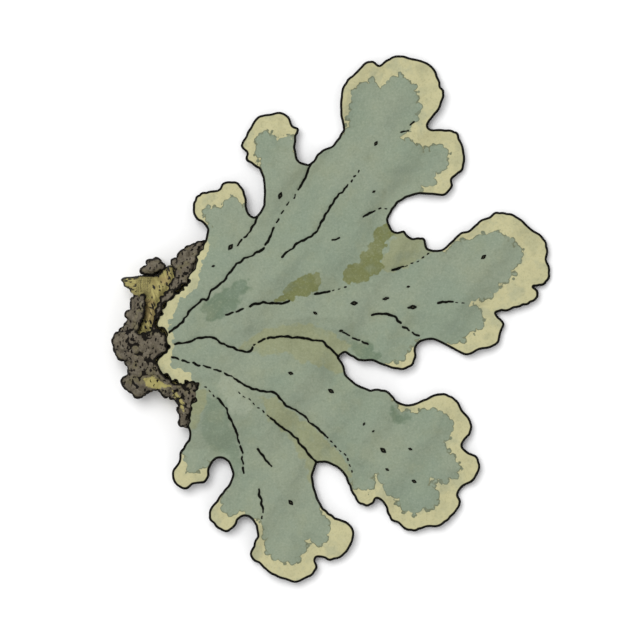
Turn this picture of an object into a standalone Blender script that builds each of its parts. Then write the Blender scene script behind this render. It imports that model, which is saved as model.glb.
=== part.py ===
"""A leafy lichen growing from a short stub of gnarled twig, lying as it was picked.

Metres, +Z up. The origin is at the middle of the footprint, on the surface that the twig and
the lobe tips rest on. +Y runs from the lowest lobe to the crown, and +X from the twig to the
tip of the widest lobe. Every length named below is in millimetres.
"""

import math

import bmesh
import bpy
from mathutils import Vector, geometry

MM = 0.001

# The thallus, which is the lichen's leafy body.
THALLUS_THICKNESS = 0.95
LOBE_GAP = 0.3
TIP_HEIGHT = 1.05
ARCH_HEIGHT = 1.0
ARCH_REACH = 3.5
RIM_LIFT = 0.5
RIM_WIDTH = 1.3
WAVE_HEIGHT = 0.55
DROP_REACH = 15.0
EDGE_STEP = 1.25
SHEET_STEP = 2.3

# The twig, which tapers to both ends and is pared flat underneath.
TWIG_HEIGHT = 8.6
TWIG_MIDDLE_Y = -3.0
TWIG_HALF_LENGTH = 14.0
TWIG_END_DROP = 3.4
TWIG_ROUNDING = 4.5
TWIG_FLANK = 2.2
TWIG_TUCK = 0.13
BARK_THICKNESS = 1.3
BARK_GAP = 0.3
TWIG_EDGE_STEP = 0.9
TWIG_STEP = 1.3

# Where the axis of the twig runs, seen from above.
TWIG_AXIS = [
    (-18.7, 11.1), (-22.0, 5.9), (-24.4, 2.1), (-25.2, -3.2),
    (-24.4, -6.5), (-22.2, -10.0), (-20.5, -13.1), (-20.6, -16.1),
]  # fmt: skip

# The thallus seen from above. Free edges run clockwise from notch to notch.
FREE_EDGES = {
    "shoulder": [
        (-19.1, 11.8), (-18.8, 13.4), (-19.3, 14.4), (-20.3, 15.0), (-20.9, 16.2),
        (-20.3, 18.7), (-19.1, 19.3), (-17.2, 19.6), (-16.4, 20.6), (-15.2, 20.9),
        (-14.0, 20.6), (-13.1, 19.3), (-12.7, 17.2), (-11.7, 15.5), (-10.9, 16.1),
    ],
    "upper": [
        (-10.9, 16.1), (-10.3, 17.3), (-10.2, 20.0), (-10.9, 22.6), (-12.8, 24.0),
        (-13.7, 26.3), (-12.5, 28.6), (-10.9, 30.8), (-9.3, 31.1), (-7.7, 31.4),
        (-6.2, 30.4), (-4.9, 28.8), (-5.3, 27.2), (-5.2, 25.0), (-3.6, 23.5), (-2.7, 24.0),
    ],
    "crown": [
        (-2.7, 24.0), (-1.7, 25.4), (0.2, 26.4), (1.8, 28.8), (1.4, 31.1), (1.5, 34.2),
        (2.3, 36.1), (4.1, 38.0), (6.1, 39.2), (7.4, 38.6), (8.8, 39.6), (10.5, 40.0),
        (13.8, 39.2), (15.3, 38.4), (16.2, 36.9), (17.2, 34.2), (16.5, 31.9), (14.7, 29.3),
        (17.2, 28.8), (19.0, 28.4), (20.3, 24.9), (20.0, 22.6), (18.5, 21.3), (17.2, 18.7),
        (12.8, 18.8), (10.5, 17.8), (8.7, 15.0), (9.3, 13.5),
    ],
    "frill": [
        (9.3, 13.5), (11.1, 13.4), (11.9, 12.4), (13.8, 12.4), (14.6, 10.8), (15.5, 10.5),
    ],
    "right": [
        (15.5, 10.5), (16.8, 10.6), (19.4, 13.0), (20.9, 13.5), (22.5, 14.9), (24.9, 16.2),
        (27.6, 15.9), (29.0, 15.0), (30.4, 13.7), (32.4, 12.0), (32.8, 9.0), (33.2, 6.9),
        (32.5, 5.3), (30.8, 4.9), (31.4, 3.6), (30.1, 2.3), (27.5, 1.4), (25.1, 1.0),
        (26.3, -0.9), (25.4, -3.6), (24.1, -4.4), (22.5, -4.7), (20.7, -5.5), (17.5, -4.1),
        (14.7, -3.2), (13.0, -4.2), (12.7, -6.4), (10.9, -7.7), (7.7, -7.0), (4.4, -6.4),
        (2.3, -5.3), (1.2, -5.8),
    ],
    "lower_right": [
        (1.2, -5.8), (2.4, -8.5), (4.1, -9.9), (7.7, -10.6), (9.4, -11.7), (10.9, -12.8),
        (13.5, -12.4), (16.7, -11.2), (19.1, -12.3), (20.9, -14.9), (21.4, -16.1),
        (20.0, -18.9), (21.6, -20.4), (22.6, -22.0), (21.8, -24.4), (19.4, -26.2),
        (19.5, -28.4), (17.0, -31.1), (14.6, -31.6), (12.3, -32.2), (10.2, -31.1),
        (8.5, -29.4), (7.1, -27.4), (5.6, -28.4), (3.9, -27.5), (2.4, -24.6),
        (0.9, -22.6), (-0.8, -21.9), (-2.1, -21.9),
    ],
    "bottom": [
        (-2.1, -21.9), (-2.7, -23.7), (-2.3, -26.1), (-1.2, -28.5), (0.8, -30.1),
        (2.9, -31.2), (3.2, -34.0), (1.6, -36.1), (-0.3, -36.6), (-2.2, -36.3),
        (-2.9, -38.9), (-5.3, -40.0), (-8.5, -39.0), (-10.8, -37.2), (-12.3, -35.7),
        (-11.2, -32.6), (-12.0, -30.4), (-13.6, -30.0), (-15.0, -31.9), (-17.0, -31.9),
        (-18.5, -29.8), (-17.2, -27.2), (-15.5, -25.0), (-15.1, -22.9), (-15.6, -21.7),
    ],
    "heel": [
        (-15.6, -21.7), (-16.9, -21.1), (-18.1, -22.2), (-18.6, -24.3), (-20.0, -25.0),
        (-22.0, -25.8), (-23.7, -25.0), (-24.0, -22.9), (-22.9, -20.2), (-21.5, -17.6),
        (-21.7, -16.4),
    ],
}  # fmt: skip

# The creases that part the lobes, from the notch between two tips to the twig.
SEAMS = {
    "shoulder_upper": [
        (-10.9, 16.1), (-12.1, 13.4), (-14.3, 11.2), (-18.8, 5.9), (-21.4, 4.1), (-24.1, 3.0),
    ],
    "upper_crown": [
        (-2.7, 24.0), (-4.7, 20.0), (-8.0, 15.0), (-10.2, 10.8), (-13.8, 8.7), (-17.9, 4.4),
        (-21.4, 1.2),
    ],
    "upper_right": [(-21.4, 1.2), (-22.5, -0.5), (-24.7, -2.3)],
    "crown_right": [
        (-21.4, 1.2), (-15.5, 0.8), (-12.9, 1.7), (-7.1, 2.4), (-4.7, 3.8), (0.2, 4.3),
        (4.7, 5.8), (9.3, 7.4),
    ],
    "frill_right": [(9.3, 7.4), (12.0, 8.4), (15.5, 10.5)],
    "crown_frill": [(9.3, 13.5), (8.5, 11.5), (8.3, 9.4), (9.3, 7.4)],
    "right_lower": [
        (1.2, -5.8), (-1.7, -3.3), (-6.1, -2.7), (-9.6, -2.9), (-12.9, -4.9), (-17.5, -3.0),
        (-21.9, -3.5), (-24.9, -3.6),
    ],
    "lower_bottom": [
        (-2.1, -21.9), (-5.8, -17.5), (-9.1, -15.0), (-14.0, -10.9), (-15.0, -8.7),
        (-18.2, -7.4), (-21.6, -6.5), (-26.0, -5.8),
    ],
    "bottom_heel": [
        (-15.6, -21.7), (-14.4, -19.4), (-14.3, -17.0), (-15.9, -13.4), (-20.0, -9.7),
    ],
}  # fmt: skip

# Where each lobe's root ends on the bark, from the top of the twig down.
ROOTS = {
    "shoulder": [(-19.1, 11.8), (-20.3, 9.2), (-21.5, 5.9), (-24.1, 3.0)],
    "upper": [(-24.1, 3.0), (-25.6, 1.1), (-26.4, -0.8), (-24.7, -2.3)],
    "right": [(-24.7, -2.3), (-24.9, -3.6)],
    "lower_right": [(-24.9, -3.6), (-24.7, -4.7), (-26.0, -5.8)],
    "bottom": [(-26.0, -5.8), (-25.5, -8.2), (-22.9, -9.8), (-20.0, -9.7)],
    "heel": [(-20.0, -9.7), (-20.5, -12.3), (-21.4, -14.8), (-21.7, -16.4)],
}

# Each lobe's outline as a round of the lines above: a minus means run backwards.
LOBES = {
    "lobe_shoulder": ["free shoulder", "seam shoulder_upper", "-root shoulder"],
    "lobe_upper": [
        "free upper", "seam upper_crown", "seam upper_right", "-root upper",
        "-seam shoulder_upper",
    ],
    "lobe_crown": [
        "free crown", "seam crown_frill", "-seam crown_right", "-seam upper_crown",
    ],
    "lobelet_frill": ["free frill", "-seam frill_right", "-seam crown_frill"],
    "lobe_right": [
        "free right", "seam right_lower", "-root right", "-seam upper_right",
        "seam crown_right", "seam frill_right",
    ],
    "lobe_lower_right": [
        "free lower_right", "seam lower_bottom", "-root lower_right", "-seam right_lower",
    ],
    "lobe_bottom": [
        "free bottom", "seam bottom_heel", "-root bottom", "-seam lower_bottom",
    ],
    "lobe_heel": ["free heel", "-root heel", "-seam bottom_heel"],
}  # fmt: skip

# The bark's outline, with the wood's side spur and the burr next to it left out of it later.
BARK_OUTLINE = [
    (-19.3, 12.0), (-22.0, 10.9), (-24.1, 8.8), (-25.0, 8.0), (-27.6, 7.3), (-29.5, 6.0),
    (-29.9, 3.5), (-30.5, 1.8), (-31.0, -0.5), (-32.3, -1.7), (-33.2, -3.5), (-32.4, -5.6),
    (-31.0, -6.6), (-30.8, -8.6), (-31.5, -9.9), (-30.4, -11.2), (-28.7, -12.0),
    (-27.3, -10.9), (-25.7, -11.1), (-23.8, -12.4), (-22.8, -14.3), (-23.0, -15.5),
    (-21.6, -16.7), (-20.3, -15.9), (-19.4, -13.5), (-19.0, -10.8), (-19.9, -8.7),
    (-21.1, -6.2), (-21.4, -3.2), (-21.4, -0.2), (-20.6, 2.9), (-19.1, 5.6), (-18.1, 8.7),
    (-18.2, 10.8),
]  # fmt: skip
WOOD_OUTLINE = [
    (-24.5, 7.6), (-25.6, 7.0), (-27.5, 6.6), (-29.3, 6.6), (-31.9, 6.0), (-31.2, 5.0),
    (-29.6, 3.4), (-29.4, 1.7), (-29.7, -0.5), (-31.1, -2.5), (-31.7, -3.8), (-29.9, -7.1),
    (-29.3, -9.0), (-28.1, -10.3), (-26.3, -9.8), (-24.7, -11.1), (-22.6, -13.4),
    (-20.9, -12.3), (-20.5, -10.0), (-21.6, -7.4), (-22.9, -4.6), (-22.8, -0.8),
    (-22.0, 2.6), (-20.5, 5.9), (-20.5, 8.4), (-22.6, 8.6),
]  # fmt: skip
BURR_OUTLINE = [
    (-29.2, 7.2), (-28.3, 7.7), (-27.6, 8.8), (-26.6, 9.2), (-25.9, 8.7), (-26.0, 7.7),
    (-26.9, 6.5), (-27.9, 6.7),
]  # fmt: skip
# Where the bark has gone: the upper break takes in the spur and the burr, and runs off the twig.
UPPER_BREAK = [
    (-35.0, 3.6), (-35.0, 12.0), (-24.4, 12.0), (-24.2, 8.2), (-23.6, 7.4), (-24.0, 5.6),
    (-25.5, 3.5), (-26.4, 2.0), (-26.4, 0.6), (-27.3, -1.6), (-29.1, -2.4), (-28.8, -0.8),
    (-28.0, 1.2), (-27.9, 3.4), (-29.0, 4.3),
]  # fmt: skip
LOWER_BREAK = [
    (-28.0, -8.8), (-26.9, -8.5), (-25.6, -9.4), (-24.3, -10.1), (-26.0, -10.4), (-27.6, -9.8),
]  # fmt: skip
# The room that the thallus takes up over the twig.
SEAT_FAR_SIDE = [(-21.9, -18.5), (-15.5, -18.5), (-15.5, 14.0), (-19.4, 14.0)]

COLOURS = {
    "thallus": (0.29, 0.34, 0.26, 1.0),
    "frill_thallus": (0.27, 0.31, 0.19, 1.0),
    "bark": (0.13, 0.115, 0.085, 1.0),
    "bare_wood": (0.24, 0.20, 0.095, 1.0),
}
ROUGHNESS = {"thallus": 0.85, "frill_thallus": 0.85, "bark": 0.95, "bare_wood": 0.75}


def clear_scene():
    for obj in list(bpy.data.objects):
        bpy.data.objects.remove(obj, do_unlink=True)


def make_material(name):
    material = bpy.data.materials.new(name)
    material.use_nodes = True
    shader = material.node_tree.nodes["Principled BSDF"]
    shader.inputs["Base Color"].default_value = COLOURS[name]
    shader.inputs["Roughness"].default_value = ROUGHNESS[name]
    shader.inputs["Metallic"].default_value = 0.0
    material.diffuse_color = COLOURS[name]
    return material


def spline_point(before, start, end, after, share):
    """A point of the Catmull-Rom curve from start to end."""
    square = share * share
    cube = square * share
    return (
        2.0 * start
        + (end - before) * share
        + (2.0 * before - 5.0 * start + 4.0 * end - after) * square
        + (3.0 * start - before - 3.0 * end + after) * cube
    ) * 0.5


def smooth_line(points, step, closed=False):
    """The points joined by a smooth curve and sampled about every step along it."""
    knots = [Vector(point) for point in points]
    count = len(knots)
    line = []
    spans = count if closed else count - 1
    for index in range(spans):
        start = knots[index]
        end = knots[(index + 1) % count]
        before = knots[index - 1] if closed or index > 0 else start
        after = knots[(index + 2) % count] if closed or index < spans - 1 else end
        pieces = max(1, round((end - start).length / step))
        for piece in range(pieces):
            line.append(spline_point(before, start, end, after, piece / pieces))
    if not closed:
        line.append(knots[-1])
    return line


def nearest_on_line(point, line, closed=False):
    nearest = line[0]
    pairs = zip(line, line[1:] + line[:1]) if closed else zip(line, line[1:])
    for start, end in pairs:
        along = end - start
        share = (point - start).dot(along) / max(along.length_squared, 1e-12)
        foot = start + along * min(1.0, max(0.0, share))
        if (point - foot).length < (point - nearest).length:
            nearest = foot
    return nearest


def distance_to_line(point, line, closed=False):
    return (point - nearest_on_line(point, line, closed)).length


def inside(point, outline):
    crossings = False
    for start, end in zip(outline, outline[1:] + outline[:1]):
        if (start.y > point.y) != (end.y > point.y):
            reach = start.x + (end.x - start.x) * (point.y - start.y) / (end.y - start.y)
            crossings ^= point.x < reach
    return crossings


def signed_area(outline):
    return sum(a.x * b.y - b.x * a.y for a, b in zip(outline, outline[1:] + outline[:1])) / 2.0


def counter_clockwise(outline):
    return outline if signed_area(outline) > 0.0 else outline[::-1]


def triangulate(outline, step):
    """Points and triangles that fill the outline, its own points coming first."""
    left = min(point.x for point in outline)
    right = max(point.x for point in outline)
    low = min(point.y for point in outline)
    high = max(point.y for point in outline)
    points = list(outline)
    row_height = step * math.sqrt(3.0) / 2.0
    for row in range(1, int((high - low) / row_height) + 1):
        shift = step / 2.0 if row % 2 else 0.0
        for column in range(int((right - left) / step) + 1):
            point = Vector((left + shift + column * step, low + row * row_height))
            if inside(point, outline) and distance_to_line(point, outline, True) > 0.6 * step:
                points.append(point)
    border = list(range(len(outline)))
    points, _, triangles, _, _, _ = geometry.delaunay_2d_cdt(points, [], [border], 1, 1e-5)
    return points, triangles


def build_solid(name, material, plan, triangles, border, levels):
    """A closed solid over one plan: levels are (function of a plan point) from bottom to top."""
    mesh_builder = bmesh.new()
    layers = [
        [mesh_builder.verts.new(Vector(level(point)) * MM) for point in plan]
        for level in (levels[0], levels[-1])
    ]
    bottom, top = layers
    for a, b, c in triangles:
        mesh_builder.faces.new((top[a], top[b], top[c]))
        mesh_builder.faces.new((bottom[c], bottom[b], bottom[a]))
    rings = [[bottom[index] for index in border]]
    for level in levels[1:-1]:
        rings.append(
            [mesh_builder.verts.new(Vector(level(plan[index])) * MM) for index in border]
        )
    rings.append([top[index] for index in border])
    for lower, upper in zip(rings, rings[1:]):
        for index in range(len(border)):
            following = (index + 1) % len(border)
            mesh_builder.faces.new(
                (lower[index], lower[following], upper[following], upper[index])
            )
    bmesh.ops.triangulate(mesh_builder, faces=mesh_builder.faces[:])
    bmesh.ops.recalc_face_normals(mesh_builder, faces=mesh_builder.faces[:])
    mesh = bpy.data.meshes.new(name)
    mesh_builder.to_mesh(mesh)
    mesh_builder.free()
    mesh.materials.append(material)
    mesh.shade_smooth()
    solid = bpy.data.objects.new(name, mesh)
    bpy.context.scene.collection.objects.link(solid)
    return solid


AXIS = smooth_line(TWIG_AXIS, 2.0)
FREE_LINES = {name: smooth_line(points, EDGE_STEP) for name, points in FREE_EDGES.items()}
SEAM_LINES = {name: smooth_line(points, SHEET_STEP) for name, points in SEAMS.items()}
ROOT_LINES = {name: smooth_line(points, EDGE_STEP) for name, points in ROOTS.items()}


def twig_crest(point):
    """Height of the twig's back at this place along it."""
    share = min(1.2, abs(point.y - TWIG_MIDDLE_Y) / TWIG_HALF_LENGTH)
    return TWIG_HEIGHT - TWIG_END_DROP * share * share


def sheet_height(point):
    """Height of the upper side of the thallus."""
    from_twig = distance_to_line(point, AXIS)
    from_free_edge = min(distance_to_line(point, line) for line in FREE_LINES.values())
    from_seam = min(distance_to_line(point, line) for line in SEAM_LINES.values())
    from_any_edge = min(from_free_edge, from_seam)
    drop = math.exp(-((from_twig / DROP_REACH) ** 1.5))
    loose = 1.0 - math.exp(-((from_twig / 11.0) ** 2))
    arch = ARCH_HEIGHT * (1.0 - math.exp(-((from_any_edge / ARCH_REACH) ** 2)))
    rim = RIM_LIFT * math.exp(-((from_free_edge / RIM_WIDTH) ** 2))
    wave = WAVE_HEIGHT * math.sin(0.42 * point.x + 0.9) * math.cos(0.38 * point.y - 0.4)
    ripple = 0.5 * WAVE_HEIGHT * math.sin(0.8 * point.x - 0.55 * point.y)
    height = TIP_HEIGHT + (twig_crest(point) - 0.2 - TIP_HEIGHT) * drop
    return max(0.6, height + loose * (arch + rim + wave + ripple) - 0.5 * (1.0 - loose))


def sheet_top(point):
    return point.x, point.y, sheet_height(point)


def sheet_bottom(point):
    return point.x, point.y, max(0.0, sheet_height(point) - THALLUS_THICKNESS)


def lobe_outline(parts):
    """The lobe's outline, drawn back along its seams so that it clears its neighbours."""
    outline = []
    on_seam = []
    for part in parts:
        kind, name = part.lstrip("-").split()
        lines = {"free": FREE_LINES, "seam": SEAM_LINES, "root": ROOT_LINES}[kind]
        line = lines[name][::-1] if part.startswith("-") else lines[name]
        if on_seam and kind == "seam":
            on_seam[-1] = True
        following = [kind == "seam"] * (len(line) - 1)
        outline += line[:-1]
        on_seam += following
        if kind == "seam":
            on_seam.append(True)
            outline.append(line[-1])
    outline, on_seam = without_repeats(outline, on_seam)
    if signed_area(outline) < 0.0:
        outline.reverse()
        on_seam.reverse()
    drawn_back = []
    for index, point in enumerate(outline):
        along = outline[(index + 1) % len(outline)] - outline[index - 1]
        inward = Vector((-along.y, along.x)).normalized()
        drawn_back.append(point + inward * LOBE_GAP * 0.6 if on_seam[index] else point)
    return drawn_back


def without_repeats(outline, flags):
    """Drops a point that repeats the one before it, and keeps the flag of either."""
    kept = []
    kept_flags = []
    for point, flag in zip(outline, flags):
        if kept and (point - kept[-1]).length < 0.05:
            kept_flags[-1] = kept_flags[-1] or flag
            continue
        kept.append(point)
        kept_flags.append(flag)
    if (kept[0] - kept[-1]).length < 0.05:
        kept.pop()
        kept_flags[0] = kept_flags[0] or kept_flags.pop()
    return kept, kept_flags


def make_lobe(name, parts, material):
    outline = lobe_outline(parts)
    plan, triangles = triangulate(outline, SHEET_STEP)
    border = list(range(len(outline)))
    return build_solid(name, material, plan, triangles, border, [sheet_bottom, sheet_top])


def make_twig_body(name, material, points, crest_offset, grow=0.0):
    """A half-round length of twig: flat below, tucked in at the foot, rounded over the back."""
    outline = counter_clockwise(smooth_line(points, TWIG_EDGE_STEP, closed=True))
    if grow:
        outline = grown(outline, grow)
    plan, triangles = triangulate(outline, TWIG_STEP)
    foot_height = -1.0 if grow else 0.0

    def back(point):
        depth = min(1.0, distance_to_line(point, outline, True) / TWIG_ROUNDING)
        rise = math.sqrt(1.0 - (1.0 - depth) ** 2)
        crest = twig_crest(point) - crest_offset
        return point.x, point.y, TWIG_FLANK + (crest - TWIG_FLANK) * (0.35 + 0.65 * rise)

    def foot(point):
        tucked = point.lerp(nearest_on_line(point, AXIS), 0.0 if grow else TWIG_TUCK)
        return tucked.x, tucked.y, foot_height

    def flank(point):
        return point.x, point.y, TWIG_FLANK

    border = list(range(len(outline)))
    return build_solid(name, material, plan, triangles, border, [foot, flank, back])


def grown(outline, distance):
    """The outline moved outwards by a distance, for the room left round a shape."""
    moved = []
    for index, point in enumerate(outline):
        along = outline[(index + 1) % len(outline)] - outline[index - 1]
        outward = Vector((along.y, -along.x)).normalized()
        moved.append(point + outward * distance)
    return moved


def make_prism(name, points, low, high):
    """A cutter with straight sides."""
    outline = counter_clockwise([Vector(point) for point in points])
    plan, triangles = triangulate(outline, 50.0)
    levels = [lambda p: (p.x, p.y, low), lambda p: (p.x, p.y, high)]
    cutter = build_solid(name, None, plan, triangles, list(range(len(outline))), levels)
    hide_cutter(cutter)
    return cutter


def make_seat(name, material, clearance):
    """A cutter with the shape of the thallus's underside, this much below it."""
    root_line = [point for line in ROOT_LINES.values() for point in line[:-1]]
    root_line.append(ROOT_LINES["heel"][-1])
    drawn_left = [point - Vector((BARK_GAP, 0.0)) for point in root_line]
    outline = counter_clockwise(drawn_left + [Vector(point) for point in SEAT_FAR_SIDE])
    plan, triangles = triangulate(outline, TWIG_STEP)

    def seat(point):
        low = sheet_height(point) - THALLUS_THICKNESS - clearance
        return point.x, point.y, max(0.5, low)

    levels = [seat, lambda p: (p.x, p.y, 2.0 * TWIG_HEIGHT)]
    cutter = build_solid(name, material, plan, triangles, list(range(len(outline))), levels)
    hide_cutter(cutter)
    return cutter


def hide_cutter(cutter):
    cutter.hide_render = True
    cutter.display_type = "WIRE"


def cut(target, cutter):
    modifier = target.modifiers.new("cut_" + cutter.name, "BOOLEAN")
    modifier.operation = "DIFFERENCE"
    modifier.solver = "EXACT"
    modifier.object = cutter


def main():
    clear_scene()
    materials = {name: make_material(name) for name in COLOURS}
    for name, parts in LOBES.items():
        slot = "frill_thallus" if name == "lobelet_frill" else "thallus"
        make_lobe(name, parts, materials[slot])

    wood = make_twig_body("twig_wood", materials["bare_wood"], WOOD_OUTLINE, BARK_THICKNESS)
    bark = make_twig_body("twig_bark", materials["bark"], BARK_OUTLINE, 0.0)
    burr = make_twig_body("bark_burr", materials["bark"], BURR_OUTLINE, -0.2)

    wood_room = make_twig_body(
        "wood_room", None, WOOD_OUTLINE, BARK_THICKNESS - BARK_GAP, grow=BARK_GAP
    )
    hide_cutter(wood_room)
    upper_break = make_prism("upper_break", UPPER_BREAK, -1.0, 2.0 * TWIG_HEIGHT)
    lower_break = make_prism("lower_break", LOWER_BREAK, 3.0, 2.0 * TWIG_HEIGHT)
    bark_seat = make_seat("bark_seat", None, BARK_GAP)
    wood_seat = make_seat("wood_seat", None, BARK_GAP + BARK_THICKNESS)

    cut(wood, wood_seat)
    for cutter in (wood_room, upper_break, lower_break, bark_seat):
        cut(bark, cutter)
    cut(burr, wood_room)


main()
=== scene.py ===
"""A leafy lichen on a stub of gnarled twig: its lobes, pits, bark, bare wood and stage.

Lengths named in this file are in millimetres unless a property says otherwise, and a mesh gets
them in metres. Heights are above the surface that the twig and the lobe tips rest on.
"""

import math
import random

import bpy
import numpy as np
from bpy.props import FloatProperty, FloatVectorProperty, IntProperty, PointerProperty
from mathutils import Matrix, Vector, geometry, kdtree, noise


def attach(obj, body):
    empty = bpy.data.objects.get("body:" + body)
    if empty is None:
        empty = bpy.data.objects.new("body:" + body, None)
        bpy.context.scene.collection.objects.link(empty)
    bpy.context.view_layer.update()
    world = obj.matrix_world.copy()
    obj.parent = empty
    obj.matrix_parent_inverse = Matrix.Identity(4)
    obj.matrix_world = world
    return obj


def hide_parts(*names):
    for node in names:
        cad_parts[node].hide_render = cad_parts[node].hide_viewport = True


bl_info = {
    "name": "Lichen on a Twig",
    "version": (1, 0, 0),
    "blender": (4, 5, 0),
    "location": "View3D > Sidebar > Lichen",
    "description": "Builds a leafy lichen on a stub of twig around its packed solids",
    "category": "Add Mesh",
}

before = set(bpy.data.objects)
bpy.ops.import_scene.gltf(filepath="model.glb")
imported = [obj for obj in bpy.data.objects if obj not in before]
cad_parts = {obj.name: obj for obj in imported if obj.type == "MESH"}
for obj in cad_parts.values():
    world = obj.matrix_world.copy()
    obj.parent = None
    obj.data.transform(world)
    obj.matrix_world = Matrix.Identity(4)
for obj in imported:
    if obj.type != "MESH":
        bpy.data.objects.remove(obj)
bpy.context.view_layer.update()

MM = 0.001
SEED = 7
# The light on a level surface, which a colour is divided by so that it comes out as it is named.
LIGHT = 1.2


def paint(red, green, blue):
    """A colour named as it looks on screen, from 0 to 255, in the linear light a shader takes."""
    shares = (red / 255.0, green / 255.0, blue / 255.0)
    linear = [s / 12.92 if s <= 0.04045 else ((s + 0.055) / 1.055) ** 2.4 for s in shares]
    return tuple(share / LIGHT for share in linear)


# ---------------------------------------------------------------------------------------------
# The plan of the thallus, seen from above, in millimetres
# ---------------------------------------------------------------------------------------------

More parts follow.
